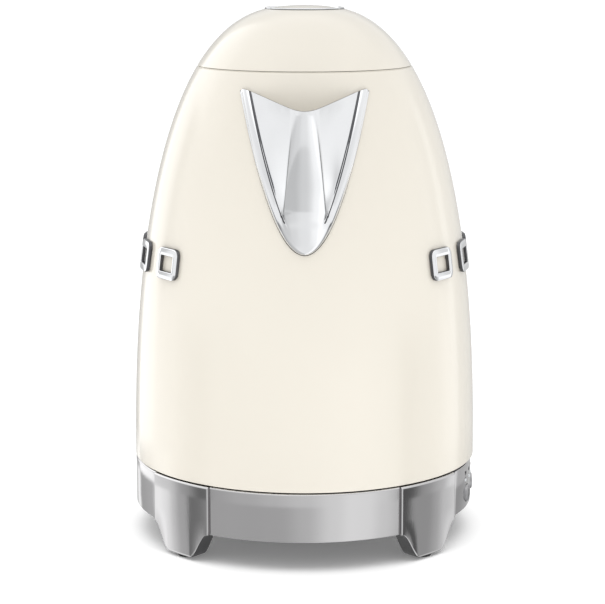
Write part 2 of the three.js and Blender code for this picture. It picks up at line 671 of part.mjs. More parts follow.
// The origin is the middle of the footprint, on the surface that the feet stand on.
const box = new THREE.Box3().setFromObject(kettle);
kettle.position.set(-(box.min.x + box.max.x) / 2, -(box.min.y + box.max.y) / 2, -box.min.z);

export default part;
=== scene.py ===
"""Looks of the domed electric kettle: fine surfaces, finishes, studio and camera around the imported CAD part.

Lengths in the tables below are millimetres about the jug's upright axis, as in the CAD source.
"""

import math

import bmesh
import bpy
import numpy as np
from mathutils import Matrix, Vector


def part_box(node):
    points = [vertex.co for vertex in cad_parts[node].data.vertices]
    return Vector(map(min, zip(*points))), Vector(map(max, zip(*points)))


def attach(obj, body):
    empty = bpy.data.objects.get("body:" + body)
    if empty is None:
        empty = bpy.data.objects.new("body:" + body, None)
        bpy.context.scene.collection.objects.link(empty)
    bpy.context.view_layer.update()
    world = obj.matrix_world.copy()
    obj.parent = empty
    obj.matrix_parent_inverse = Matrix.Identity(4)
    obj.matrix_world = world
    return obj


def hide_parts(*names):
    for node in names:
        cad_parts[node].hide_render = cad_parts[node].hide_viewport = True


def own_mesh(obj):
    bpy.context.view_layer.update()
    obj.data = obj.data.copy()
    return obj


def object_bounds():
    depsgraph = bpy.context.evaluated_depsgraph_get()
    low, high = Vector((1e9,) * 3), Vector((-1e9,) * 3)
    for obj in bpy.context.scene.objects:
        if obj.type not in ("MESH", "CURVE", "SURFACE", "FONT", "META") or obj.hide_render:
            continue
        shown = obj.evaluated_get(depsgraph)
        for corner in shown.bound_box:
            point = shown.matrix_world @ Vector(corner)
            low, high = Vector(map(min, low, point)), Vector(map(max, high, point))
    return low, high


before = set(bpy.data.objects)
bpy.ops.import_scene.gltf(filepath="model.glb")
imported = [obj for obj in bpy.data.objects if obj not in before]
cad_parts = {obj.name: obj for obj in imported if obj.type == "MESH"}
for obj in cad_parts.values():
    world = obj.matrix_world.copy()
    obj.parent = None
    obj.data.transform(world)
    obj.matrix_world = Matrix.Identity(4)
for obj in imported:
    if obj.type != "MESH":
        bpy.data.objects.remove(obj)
CAD_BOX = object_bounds()
MM = 0.001
JUG_LOW, JUG_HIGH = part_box("jug_body")
AXIS_Y = (JUG_LOW.y + JUG_HIGH.y) / 2


def added(name, data):
    """A new object in the scene."""
    made = bpy.data.objects.new(name, data)
    bpy.context.scene.collection.objects.link(made)
    return made


# ---- camera ----
camera = added("camera", bpy.data.cameras.new("camera"))
camera.data.sensor_width = 36.0
camera.data.lens = 120.4
camera.data.clip_end = 50.0
CAMERA_DISTANCE, CAMERA_HEIGHT, CAMERA_DOWN = 1.0, 0.297, 10.36
camera.location = (-0.001, AXIS_Y - CAMERA_DISTANCE, CAMERA_HEIGHT)
camera.rotation_euler = (math.radians(90 - CAMERA_DOWN), 0, 0)
bpy.context.scene.camera = camera

# ---- shared dimensions ----
BODY_R, CROWN_Z, BELLY_Z, SIDE_POWER, SIDE_ROUND = 85.5, 262.0, 33.3, 2.31, 0.371
WALL = 1.3
JUG_FOOT, LID_SEAM, SEAM_HALF = 38.8, 232.6, 0.3
BASE_TOP, SKIRT_R, PILLAR_R, PANEL_R, PANEL_FACE = 38.2, 85.3, 86.3, 82.6, 84.2
SKIRT_LOW, FOOT_LOW, PILLAR_HALF, FOOT_HALF, PILLAR_ROUND = 14.5, 1.3, 12.9, 5.0, 110.0
SPOUT_TIP, SPOUT_LIP, SPOUT_CORNER, SPOUT_SPREAD, SPOUT_OUT = 150.5, 217.0, 225.5, 3.48, 22.0
HINGE_Y, HINGE_Z = 58.5, 235.6
BADGE_ANGLES, BADGE_Z = (54.5, 75.5, 96.5, 117.5), 141.3
BADGE_WIDE, BADGE_TALL, BADGE_CORNER, BADGE_STROKE, BADGE_RAISED = 17.6, 14.8, 3.4, 3.6, 2.0
BUTTONS = {"temperature_button": -16, "start_button": 0, "keep_warm_button": 16}
BUTTON_Z, LIGHT_Z = 21.8, 29.0
KNOB_HOLE_R, PIN_HOLE_R = 4.6, 1.85
LEG_ANGLES = [45 + 90 * i for i in range(4)]
PAD_AT, BASE_SCREW_AT, JUG_SCREW_AT = 81.3, 60, 68
JUG_SCREW_ANGLES = (30, 150, 270)
LIGHT_ANGLES = [-18 + 6 * i for i in range(7)]
TEMPERATURES = ("50", "60", "70", "75", "80", "90", "100")


def mix(a, b, t):
    return a + (b - a) * t


def clamp(x, low=0.0, high=1.0):
    return max(low, min(high, x))


def ease(x, low, high):
    t = clamp((x - low) / (high - low))
    return t * t * (3 - 2 * t)


def side_r(z):
    """Outside radius of the jug and lid at a height."""
    t = clamp((z - BELLY_Z) / (CROWN_Z - BELLY_Z))
    return BODY_R * (1 - t**SIDE_POWER) ** SIDE_ROUND if t < 1 else 0.0


def side_line(low, high, steps, inset=0.0, bunch=1.0):
    """Outline points between two heights, moved inwards along the normal."""
    line = []
    for i in range(steps + 1):
        z = mix(low, high, 1 - (1 - i / steps) ** bunch)
        slope = (side_r(z + 0.05) - side_r(z - 0.05)) / 0.1
        long = math.hypot(1, slope)
        line.append((side_r(z) - inset / long, z + inset * slope / long))
    return line


# ---- materials ----
def add_node(tree, kind, **inputs):
    """A new shader node, with the inputs named by the words set."""
    made = tree.nodes.new("ShaderNode" + kind)
    for name, value in inputs.items():
        made.inputs[name.replace("_", " ")].default_value = value
    return made


def material(
    name, color, rough, metal=0.0, vary=0.04, scale=60.0, bump=0.0, bump_scale=900.0, stretch=(1, 1, 1),
    **sockets
):
    """A finish whose colour and roughness drift a little over the surface, with a fine relief."""
    m = bpy.data.materials.new(name)
    m.use_nodes = True
    tree, link = m.node_tree, m.node_tree.links.new
    shader = tree.nodes["Principled BSDF"]
    for socket, value in {"Metallic": metal, **sockets}.items():
        shader.inputs[socket.replace("_", " ")].default_value = value
    where = add_node(tree, "TexCoord")
    stretched = add_node(tree, "Mapping", Scale=stretch)
    link(where.outputs["Object"], stretched.inputs["Vector"])
    drift = add_node(tree, "TexNoise", Scale=scale, Detail=4.0)
    link(stretched.outputs["Vector"], drift.inputs["Vector"])
    ramp = add_node(tree, "ValToRGB")
    dark, light = ramp.color_ramp.elements
    dark.position, light.position = 0.3, 0.7
    dark.color = (*[c * (1 - vary) for c in color], 1)
    light.color = (*[min(1.0, c * (1 + vary * 0.5)) for c in color], 1)
    link(drift.outputs["Fac"], ramp.inputs["Fac"])
    link(ramp.outputs["Color"], shader.inputs["Base Color"])
    spread = add_node(tree, "MapRange", To_Min=rough * 0.85, To_Max=min(1.0, rough * 1.15))
    link(drift.outputs["Fac"], spread.inputs["Value"])
    link(spread.outputs["Result"], shader.inputs["Roughness"])
    if bump:
        grain = add_node(tree, "TexNoise", Scale=bump_scale, Detail=3.0)
        link(stretched.outputs["Vector"], grain.inputs["Vector"])
        relief = add_node(tree, "Bump", Strength=bump, Distance=0.0002)
        link(grain.outputs["Fac"], relief.inputs["Height"])
        link(relief.outputs["Normal"], shader.inputs["Normal"])
    return m


ENAMEL = material(
    "enamel", (0.79, 0.747, 0.66), 0.2, vary=0.012, scale=9, bump=0.05, bump_scale=330, Coat_Weight=0.7,
    Coat_Roughness=0.07,
)
CREAM = material(
    "cream_plastic", (0.785, 0.745, 0.655), 0.24, vary=0.015, scale=14, bump=0.06, bump_scale=700,
    Coat_Weight=0.35, Coat_Roughness=0.12,
)
CHROME = material(
    "chrome", (0.93, 0.94, 0.955), 0.07, metal=1.0, vary=0.03, scale=40, bump=0.015, bump_scale=240,
)
SATIN = material(
    "brushed_steel", (0.6, 0.595, 0.6), 0.09, metal=1.0, vary=0.04, scale=30, bump=0.05, bump_scale=2600,
    stretch=(1, 1, 0.12),
)
# A darker copy of the satin steel for the pillars' low side walls: painted shade.
PAINTED_SHADE_STEEL = material(
    "painted_shade_steel", (0.3, 0.29, 0.295), 0.28, metal=1.0, vary=0.05, scale=30, bump=0.05, bump_scale=2600,
)
KNOB = material(
    "knob_steel", (0.4, 0.4, 0.41), 0.32, metal=1.0, vary=0.05, scale=90, bump=0.1, bump_scale=1800,
)
# Dark chrome that paints shade and dark reflections as a fixed colour: the lines along the spout's bead and
# upper edge, and the badges' walls.
SHADE = material(
    "painted_shade_chrome", (0.12, 0.12, 0.125), 0.3, metal=1.0, vary=0.05, scale=90, bump=0.05, bump_scale=1800,
)
STEEL = material(
    "steel", (0.62, 0.62, 0.615), 0.3, metal=1.0, vary=0.08, scale=45, bump=0.15, bump_scale=1500,
    stretch=(1, 1, 0.2),
)
GREY = material("grey_plastic", (0.2, 0.205, 0.21), 0.5, vary=0.1, scale=90, bump=0.25, bump_scale=1800)
BLACK = material("dark_plastic", (0.022, 0.022, 0.024), 0.48, vary=0.15, scale=90, bump=0.3, bump_scale=2200)
SILICONE = material(
    "silicone", (0.6, 0.61, 0.6), 0.55, vary=0.06, scale=50, bump=0.2, bump_scale=900, Subsurface_Weight=0.2,
)
RUBBER = material("rubber", (0.016, 0.016, 0.017), 0.8, vary=0.2, scale=120, bump=0.4, bump_scale=1500)
BRASS = material("brass", (0.72, 0.52, 0.22), 0.22, metal=1.0, vary=0.08, scale=80, bump=0.08, bump_scale=900)
BOARD = material("circuit_board", (0.02, 0.13, 0.06), 0.4, vary=0.2, scale=200, bump=0.2, bump_scale=700)
LIGHTS = material("light_guide", (0.75, 0.78, 0.8), 0.3, vary=0.05, scale=200, bump=0.1, bump_scale=900)
CLEAR = material(
    "clear_plastic", (0.86, 0.9, 0.9), 0.08, vary=0.02, scale=50, bump=0.03, bump_scale=300,
    Transmission_Weight=0.85, IOR=1.49,
)
INK = material("ink", (0.035, 0.035, 0.038), 0.45, vary=0.1, scale=300, bump=0.1, bump_scale=1500)
ELEMENT = material(
    "element_steel", (0.3, 0.28, 0.26), 0.4, metal=1.0, vary=0.2, scale=120, bump=0.2, bump_scale=900,
)


# ---- mesh helpers ----
def build_mesh(name, points, faces, kinds=None):
    """A mesh in metres in the row frame from points in millimetres about the jug's axis, facing outwards."""
    p = np.array(points, float)
    p = p * MM + np.array([0, AXIS_Y, 0])
    mesh = bpy.data.meshes.new(name)
    mesh.from_pydata(p.tolist(), [], faces)
    if kinds is not None:
        mesh.polygons.foreach_set("material_index", kinds)
    bm = bmesh.new()
    bm.from_mesh(mesh)
    bmesh.ops.remove_doubles(bm, verts=bm.verts, dist=1e-7)
    bmesh.ops.dissolve_degenerate(bm, edges=bm.edges, dist=1e-8)
    bmesh.ops.recalc_face_normals(bm, faces=bm.faces)
    if bm.calc_volume(signed=True) < 0:
        bmesh.ops.reverse_faces(bm, faces=bm.faces)
    bm.to_mesh(mesh)
    bm.free()
    return mesh


def place(mesh, materials, body, replaces=(), sharp=35, name=None):
    """Puts a mesh in the scene on a CAD body, with its finish, in place of CAD nodes."""
    materials = materials if isinstance(materials, (list, tuple)) else [materials]
    if len(mesh.materials) == 0:
        for m in materials:
            mesh.materials.append(m)
    mesh.shade_smooth()
    mesh.set_sharp_from_angle(angle=math.radians(sharp))
    piece = added((name or mesh.name) + "_skin", mesh)
    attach(piece, body)
    if replaces:
        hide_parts(*([replaces] if isinstance(replaces, str) else replaces))
    return piece


def soften(outline, radius=0.35, steps=3, closed=True):
    """An outline with each corner rounded. A point may carry its own radius as a third number."""
    rounded = []
    count = len(outline)
    for i, point in enumerate(outline):
        here = Vector(point[:2])
        if not closed and i in (0, count - 1):
            rounded.append(tuple(here))
            continue
        before, after = Vector(outline[i - 1][:2]), Vector(outline[(i + 1) % count][:2])
        cut = point[2] if len(point) > 2 else radius
        back = min(cut, (before - here).length * 0.45)
        ahead = min(cut, (after - here).length * 0.45)
        start = here + (before - here).normalized() * back
        end = here + (after - here).normalized() * ahead
        for k in range(steps + 1):
            t = k / steps
            rounded.append(tuple(start * (1 - t) ** 2 + here * 2 * t * (1 - t) + end * t * t))
    return rounded


def revolve(name, outline, segments=128, centre=(0, 0), kinds=None):
    """A surface of revolution about an upright line. The outline ends on the axis, or it is a closed ring."""
    closed = outline[0][0] > 1e-6
    points, faces, marks = [], [], []
    for r, z in outline:
        for k in range(segments):
            a = 2 * math.pi * k / segments
            points.append((centre[0] + r * math.cos(a), centre[1] + r * math.sin(a), z))
    count = len(outline)
    for i in range(count if closed else count - 1):
        j = (i + 1) % count
        for k in range(segments):
            n = (k + 1) % segments
            faces.append((i * segments + k, i * segments + n, j * segments + n, j * segments + k))
            marks.append(kinds(outline[i], outline[j]) if kinds else 0)
    return build_mesh(name, points, faces, marks)


def sweep(name, rings, closed=False, kinds=None):
    """A skin over rings of points, with flat ends unless it closes on itself."""
    count, rows = len(rings[0]), len(rings)
    points = [p for ring in rings for p in ring]
    faces, marks = [], []
    for i in range(rows if closed else rows - 1):
        j = (i + 1) % rows
        for k in range(count):
            n = (k + 1) % count
            faces.append((i * count + k, i * count + n, j * count + n, j * count + k))
            marks.append(kinds(i, k) if kinds else 0)
    if not closed:
        faces.append(tuple(range(count)))
        faces.append(tuple((rows - 1) * count + k for k in range(count)))
        marks += [0, 0]
    return build_mesh(name, points, faces, marks)


def plate(name, front, back, nu, nv, kinds=None):
    """A sheet between two curved surfaces, each a function of u and v from 0 to 1."""
    points = [front(i / nu, j / nv) for j in range(nv + 1) for i in range(nu + 1)]
    points += [back(i / nu, j / nv) for j in range(nv + 1) for i in range(nu + 1)]
    half = (nu + 1) * (nv + 1)
    at = lambda i, j, s: s * half + j * (nu + 1) + i
    faces, marks = [], []
    for j in range(nv):
        for i in range(nu):
            faces.append((at(i, j, 0), at(i + 1, j, 0), at(i + 1, j + 1, 0), at(i, j + 1, 0)))
            faces.append((at(i, j, 1), at(i, j + 1, 1), at(i + 1, j + 1, 1), at(i + 1, j, 1)))
            marks += [kinds((i + 0.5) / nu, (j + 0.5) / nv), 2] if kinds else [0, 0]
        for i in (0, nu):
            faces.append((at(i, j, 0), at(i, j + 1, 0), at(i, j + 1, 1), at(i, j, 1)))
            marks.append(0)
    for i in range(nu):
        for j in (0, nv):
            faces.append((at(i, j, 0), at(i, j, 1), at(i + 1, j, 1), at(i + 1, j, 0)))
            marks.append(kinds((i + 0.5) / nu, j / nv) if kinds else 0)
    return build_mesh(name, points, faces, marks)


def modified(mesh, setup):
    """The mesh after modifiers that setup adds to a throwaway object."""
    temp = added("temp", mesh)
    setup(temp)
    bpy.context.view_layer.update()
    made = bpy.data.meshes.new_from_object(temp.evaluated_get(bpy.context.evaluated_depsgraph_get()))
    name = mesh.name
    bpy.data.objects.remove(temp)
    mesh.name = "spare"
    made.name = name
    return made


def cut(mesh, *tools):
    """The mesh with other meshes cut out of it."""
    for tool in tools:
        cutter = added("cutter", tool)

        def setup(temp, cutter=cutter):
            m = temp.modifiers.new("cut", "BOOLEAN")
            m.operation, m.solver, m.object = "DIFFERENCE", "EXACT", cutter

        mesh = modified(mesh, setup)
        bpy.data.objects.remove(cutter)
    return mesh


def bevelled(mesh, width, segments=3, angle=35):
    """The mesh with its sharp edges rounded."""

    def setup(temp):
        m = temp.modifiers.new("round", "BEVEL")
        m.width, m.segments, m.limit_method = width * MM, segments, "ANGLE"
        m.angle_limit = math.radians(angle)
        m.use_clamp_overlap = True

    return modified(mesh, setup)


def box_mesh(name, x0, x1, y0, y1, z0, z1):
    corners = [(x, y, z) for z in (z0, z1) for y in (y0, y1) for x in (x0, x1)]
    faces = [(0, 1, 3, 2), (4, 5, 7, 6), (0, 1, 5, 4), (2, 3, 7, 6), (0, 2, 6, 4), (1, 3, 7, 5)]
    return build_mesh(name, corners, faces)


def bar_mesh(name, outline, start, along, across, up, segments=32):
    """A turned piece on any axis: outline points are (radius, distance along the axis)."""
    start, along, across, up = Vector(start), Vector(along), Vector(across), Vector(up)
    rings = []
    for r, d in outline:
        ring = []
        for k in range(segments):
            a = 2 * math.pi * k / segments
            ring.append(tuple(start + along * d + across * (r * math.cos(a)) + up * (r * math.sin(a))))
        rings.append(ring)
    return sweep(name, rings)


def radial_bar(name, outline, angle, z, segments=48):
    a = math.radians(angle)
    return bar_mesh(
        name, outline, (0, 0, z), (math.cos(a), math.sin(a), 0), (-math.sin(a), math.cos(a), 0), (0, 0, 1),
        segments,
    )


def cross_bar(name, outline, y, z, segments=48):
    return bar_mesh(name, outline, (0, y, z), (1, 0, 0), (0, 1, 0), (0, 0, 1), segments)


def tube_mesh(name, path, radius, sides=10):
    """A round wire along points."""
    path = [Vector(p) for p in path]
    side, rings = Vector((0.31, 0.47, 0.83)), []
    for i, p in enumerate(path):
        along = (path[min(i + 1, len(path) - 1)] - path[max(i - 1, 0)]).normalized()
        side = (side - along * side.dot(along)).normalized()
        other = along.cross(side)
        ring = []
        for k in range(sides):
            a = 2 * math.pi * k / sides
            ring.append(tuple(p + side * (radius * math.cos(a)) + other * (radius * math.sin(a))))
        rings.append(ring)
    return sweep(name, rings)


def joined(name, *meshes):
    """Several meshes as one, their material numbers kept."""
    bm = bmesh.new()
    for mesh in meshes:
        bm.from_mesh(mesh)
    out = bpy.data.meshes.new(name)
    bm.to_mesh(out)
    bm.free()
    return out


def on_side(x, z, off, facing):
    """The point of the jug's side at x and z, moved off it; facing is -1 for the front and 1 for the rear."""
    return (x, facing * (math.sqrt(max(0.0, side_r(z) ** 2 - x * x)) + off), z)


def round_axis(distance, angle):
    """The x and y at a distance from the middle, in a direction in degrees."""
    a = math.radians(angle)
    return (distance * math.cos(a), distance * math.sin(a))


def turned(point, angle):
    """A point turned about the jug's axis."""
    a = math.radians(angle)
    x, y, z = point
    return (x * math.cos(a) - y * math.sin(a), x * math.sin(a) + y * math.cos(a), z)


# ---- jug body ----
def pouring_tool():
    """The opening behind the spout, wider at its top."""
    shape = [(-8, 192), (8, 192), (12.5, 211.5), (-12.5, 211.5)]
    return sweep("tool", [[(x, y, z) for x, z in shape] for y in (-80, -40)])


def gauge_tool(half, low, high):
    """The water window's opening."""
    return plate(
        "tool",
        lambda u, v: on_side(mix(-half, half, u), mix(low, high, v), 4, 1),
        lambda u, v: on_side(mix(-half, half, u), mix(low, high, v), -6, 1),
        6, 30,
    )


def make_jug_body():
    top = LID_SEAM - SEAM_HALF
    outer = side_line(JUG_FOOT, top, 90, 0, 1.3)
    inner = side_line(JUG_FOOT, top - 1.4, 60, WALL, 1.3)[::-1]
    head = [outer[-2], (*outer[-1], 0.3), (48.2, top, 0.4), (48.2, top - 0.9, 0.3), inner[0]]
    foot = [inner[-2], (*inner[-1], 0.4), (*outer[0], 0.5), outer[1]]
    outline = outer[1:-2] + soften(head, steps=4, closed=False)
    outline += inner[1:-2] + soften(foot, steps=6, closed=False)[:-1]

    def bare(a, b):
        """1 for the bare steel inside, between two points of the outline."""
        r, z = (a[0] + b[0]) / 2, (a[1] + b[1]) / 2
        return 1 if r < side_r(z) - 0.9 and z < top - 1.2 else 0

    shell = revolve("jug_body", outline, 240, kinds=bare)
    shell.materials.append(ENAMEL)
    shell.materials.append(STEEL)
    shell = cut(shell, pouring_tool(), gauge_tool(5.4, 117.6, 196.4))
    place(shell, [ENAMEL, STEEL], "jug", "jug_body")


make_jug_body()


# ---- spout ----
SPOUT_HALF = SPOUT_SPREAD * math.sqrt(SPOUT_CORNER - SPOUT_TIP)
SPOUT_CORNER_R, LIP_ROUND = 2.3, 0.17
BEAD_WIDE, BEAD_HIGH = 4.2, 1.5
NOSE_LOW, NOSE_HIGH = 11.5, 5.3
SPOUT_START, SPOUT_MARGIN, SPOUT_WALL = 0.04, 8, 2.2
# The painted shade line inside the bead: how far in from the rim it runs, and the spout's half-width where it
# starts.
PAINTED_LINE_IN, PAINTED_LINE_FROM = 4.3, 13.5


def spout_top(x):
    """Height of the upper edge, from the lip in the middle out to a rounded corner."""
    side = abs(x) / SPOUT_HALF
    share = (math.hypot(side, LIP_ROUND) - LIP_ROUND) / (math.hypot(1, LIP_ROUND) - LIP_ROUND)
    over = clamp(abs(x) - (SPOUT_HALF - SPOUT_CORNER_R), 0, SPOUT_CORNER_R)
    return mix(SPOUT_LIP, SPOUT_CORNER, share) - SPOUT_CORNER_R + math.sqrt(SPOUT_CORNER_R**2 - over**2)


def spout_wide(z):
    """Half the spout's width at a height."""
    return SPOUT_SPREAD * math.sqrt(max(0.0, z - SPOUT_TIP))


def spout_off(x, z):
    """How far the spout's face stands off the jug: a bead along the rim, hollow flanks and a blunt nose."""
    x = abs(x)
    wide = spout_wide(z)
    t = clamp((z - SPOUT_TIP) / (SPOUT_LIP - SPOUT_TIP))
    upper = ease(z, 160, 184)
    edge = (wide - x) / math.hypot(1, SPOUT_SPREAD**2 / (2 * max(1.0, wide)))
    crest = 1 - abs(clamp(2 * edge / BEAD_WIDE, 0, 2) - 1) ** 2.4
    bead = BEAD_HIGH * (crest**0.5 if edge < BEAD_WIDE / 2 else mix(1, crest**0.5, upper))
    nose = min(mix(NOSE_LOW, NOSE_HIGH, t), 0.62 * wide)
    reach = wide - mix(0.6, BEAD_WIDE - 0.3, upper)
    flat = mix(0.3, 0.05, upper)
    front = 1 - flat * min(2, (x / nose) ** 2.6)
    flank = (1 - flat) * (1 - clamp((x - nose) / (reach - nose), -0.5, 1)) ** mix(0.9, 1.22, upper)
    soft = mix(0.06, 0.03, upper)
    share = clamp(0.5 + 0.5 * (flank - front) / soft)
    beak = SPOUT_OUT * t**1.3 * (mix(flank, front, share) - soft * share * (1 - share))
    power = mix(1.3, 3, upper)
    return (bead**power + max(0.0, beak) ** power) ** (1 / power)


def spout_point(u, v, back):
    """A point of the spout's face or back: u goes across from rim to rim, v from the tip to the top edge."""
    rise = mix(SPOUT_START, 1, v)
    half = rise * SPOUT_HALF
    margin = half * min(0.55, SPOUT_MARGIN / half)
    away = abs(2 * u - 1)
    x = half - margin * (1 - away) / 0.5 if away > 0.5 else (half - margin) * away / 0.5
    z = SPOUT_TIP + rise * rise * (spout_top(x / rise) - SPOUT_TIP)
    off = spout_off(x, z)
    off = 0.35 + max(0.0, off - SPOUT_WALL) if back else 0.85 + off
    return on_side(math.copysign(x, u - 0.5), z, off, -1)


def spout_shade(u, v):
    """1 where dark reflections are painted as shade: a line inside the bead, with no groove in the surface,
    and along the cut upper edge.
    """
    half = mix(SPOUT_START, 1, v) * SPOUT_HALF
    inwards = min(0.55 * half, SPOUT_MARGIN) * (1 - abs(2 * u - 1)) / 0.5
    painted_line = abs(inwards - PAINTED_LINE_IN) < mix(0.55, 0.24, v) and half > PAINTED_LINE_FROM
    return 1 if painted_line or v == 1 else 0


def make_spout():
    face = lambda u, v: spout_point(u, v, False)
    back = lambda u, v: spout_point(u, v, True)
    # Chrome face, with dark chrome painted along the shade lines, and a cream back.
    mesh = plate("spout", face, back, 160, 110, spout_shade)
    place(mesh, [CHROME, SHADE, ENAMEL], "jug", "spout", sharp=60)
    line = [mix(-1, 1, i / 120) * (SPOUT_HALF - 0.3) for i in range(121)]
    path = [on_side(x * 1.004, SPOUT_TIP - 0.1 + (x / SPOUT_SPREAD) ** 2, 0.3, -1) for x in line]
    place(tube_mesh("spout_seal", path, 0.33, 10), BLACK, "jug")


make_spout()


# ---- badges ----
# Rows of a badge's section given dark chrome as painted shade and reflection: its side walls and its back.
BADGE_PAINTED_SHADE_ROWS = (0, 1, 5, 6, 7)


def link_outline(wide, tall, corner, steps=8):
    """Points round an oblong with round corners."""
    outline = []
    for i, (sx, sz) in enumerate(((1, 1), (-1, 1), (-1, -1), (1, -1))):
        for k in range(steps + 1):
            a = math.pi / 2 * (i + k / steps)
            x = sx * (wide / 2 - corner) + corner * math.cos(a)
            z = sz * (tall / 2 - corner) + corner * math.sin(a)
            outline.append((x, z))
    return outline


def make_badges():
    """Oblong chrome links in place of the raised letters, their walls painted dark as shade."""
    section = [(0, 0.35), (0, BADGE_RAISED - 0.35), (0.1, BADGE_RAISED - 0.12), (0.3, BADGE_RAISED)]
    section += [(BADGE_STROKE - d, off) for d, off in reversed(section)]
    rows = [
        link_outline(BADGE_WIDE - 2 * d, BADGE_TALL - 2 * d, max(0.5, BADGE_CORNER - d)) for d, _ in section
    ]
    for side, sign in (("right", 1), ("left", -1)):
        for i, angle in enumerate(BADGE_ANGLES):
            rings = []
            for k in range(len(rows[0])):
                ring = []
                for row, (_, off) in zip(rows, section):
                    x, z = row[k]
                    ring.append(turned(on_side(x, BADGE_Z + z, off, -1), sign * angle))
                rings.append(ring)
            node = f"badge_{side}_{i + 1}"
            walls = sweep("badge", rings, closed=True, kinds=lambda _, k: 1 if k in BADGE_PAINTED_SHADE_ROWS else 0)
            place(walls, [CHROME, SHADE], "jug", node, name=node)


make_badges()


# ---- handle and hinge ----
# Corners of the Bezier curve along the handle's middle, as (y, z).
HANDLE = [Vector(p) for p in ((52, 223), (149, 247), (158, 94), (78, 99))]
HANDLE_HALF, HANDLE_THICK, SPLIT_GAP = 13, 8.2, 0.22
JUG_GAP = 0.35
BRACKET_HALF, LID_EAR = 13, 7.6


def handle_at(t):
    """A place on the handle's middle line, t from 0 to 1, and the direction there."""
    s = 1 - t
    p0, p1, p2, p3 = HANDLE
    p = p0 * s**3 + p1 * 3 * s * s * t + p2 * 3 * s * t * t + p3 * t**3
    d = (p1 - p0) * s * s + (p2 - p1) * 2 * s * t + (p3 - p2) * t * t
    return p, d.normalized()


def jug_tool():
    """The space of the jug and lid with a small gap round it."""
    envelope = [(0, 30)] + side_line(36, CROWN_Z - 1, 80, -JUG_GAP, 1.6) + [(0, CROWN_Z + JUG_GAP)]
    return revolve("tool", envelope, 160)


def make_handle():
    along, around = 96, 40
    for node, sign in (("handle_shell", 1), ("handle_grip", -1)):
        rings = []
        for i in range(along + 1):
            t = i / along
            p, d = handle_at(t)
            swell = 1 + 0.16 * abs(2 * t - 1) ** 3
            ring = []
            for k in range(around + 1):
                a = math.pi * k / around
                across = HANDLE_HALF * math.copysign(abs(math.cos(a)) ** 0.7, math.cos(a))
                thick = HANDLE_THICK * math.sin(a) ** 0.8 * swell
                lip = SPLIT_GAP + 0.35 * (1 - ease(min(k, around - k), 0, 2))
                inside = 0 < k < around
                off = sign * (thick + lip if inside else lip)
                ring.append((across * (1 if inside else 0.985), p.x - d.y * off, p.y + d.x * off))
            rings.append(ring)
        mesh = cut(sweep(node, rings), jug_tool(), box_mesh("tool", -30, 30, 0, 70.4, 205, 260))
        place(mesh, CREAM, "jug", node, name=node, sharp=30)


def pin_tool(half):
    """The hinge pin's hole."""
    return cross_bar("tool", [(PIN_HOLE_R, -half), (PIN_HOLE_R, half)], HINGE_Y, HINGE_Z)


def make_bracket():
    outline = [(40, 214), (70, 214, 1.2), (70, 234, 3), (64, 236.5, 2), (62.6, 236.5, 0.5), (40, 229)]
    rounded = soften(outline, steps=6)
    steps = (-BRACKET_HALF, 0.4 - BRACKET_HALF, BRACKET_HALF - 0.4, BRACKET_HALF)
    body = sweep("hinge_bracket", [[(x, y, z) for y, z in rounded] for x in steps])
    block = cut(body, box_mesh("tool", -LID_EAR, LID_EAR, 40, 62.6, 231.8, 250), pin_tool(30), jug_tool())
    ears = []
    for x0, x1 in ((-BRACKET_HALF, -LID_EAR), (LID_EAR, BRACKET_HALF)):
        ear = cross_bar("ear", [(4.1, x0), (4.6, x0 + 0.5), (4.6, x1 - 0.5), (4.1, x1)], HINGE_Y, HINGE_Z)
        ears.append(cut(ear, pin_tool(30), jug_tool()))
    place(joined("hinge_bracket", block, *ears), CREAM, "jug", "hinge_bracket", name="hinge_bracket")
    pin = [(0.9, -12.6), (1.4, -12.3), (1.5, -11.9), (1.5, 11.9), (1.4, 12.3), (0.9, 12.6)]
    place(cross_bar("hinge_pin", pin, HINGE_Y, HINGE_Z), STEEL, "jug", "hinge_pin")


make_handle()
make_bracket()


# ---- water gauge ----
def make_gauge():
    def face(u, v, off):
        z = mix(118, 196, v)
        crown = 0.35 * (1 - (2 * u - 1) ** 2)
        return on_side(mix(-5, 5, u), z, off + (crown if off > 0 else 0), 1)

    window = plate("gauge_window", lambda u, v: face(u, v, 0.55), lambda u, v: face(u, v, -2.6), 12, 40)
    place(bevelled(window, 0.5, 3), CLEAR, "jug", "gauge_window")
    marks = []
    for i in range(9):
        half = 3.4 if i % 2 == 0 else 2.0

        def line(u, v, off, z=124 + 8 * i, half=half):
            return on_side(mix(-half, half, u), z + mix(-0.35, 0.35, v), off, 1)

        marks.append(plate("mark", lambda u, v: line(u, v, 0.93), lambda u, v: line(u, v, 0.6), 6, 1))
    place(joined("gauge_marks", *marks), INK, "jug", name="gauge_marks")


make_gauge()


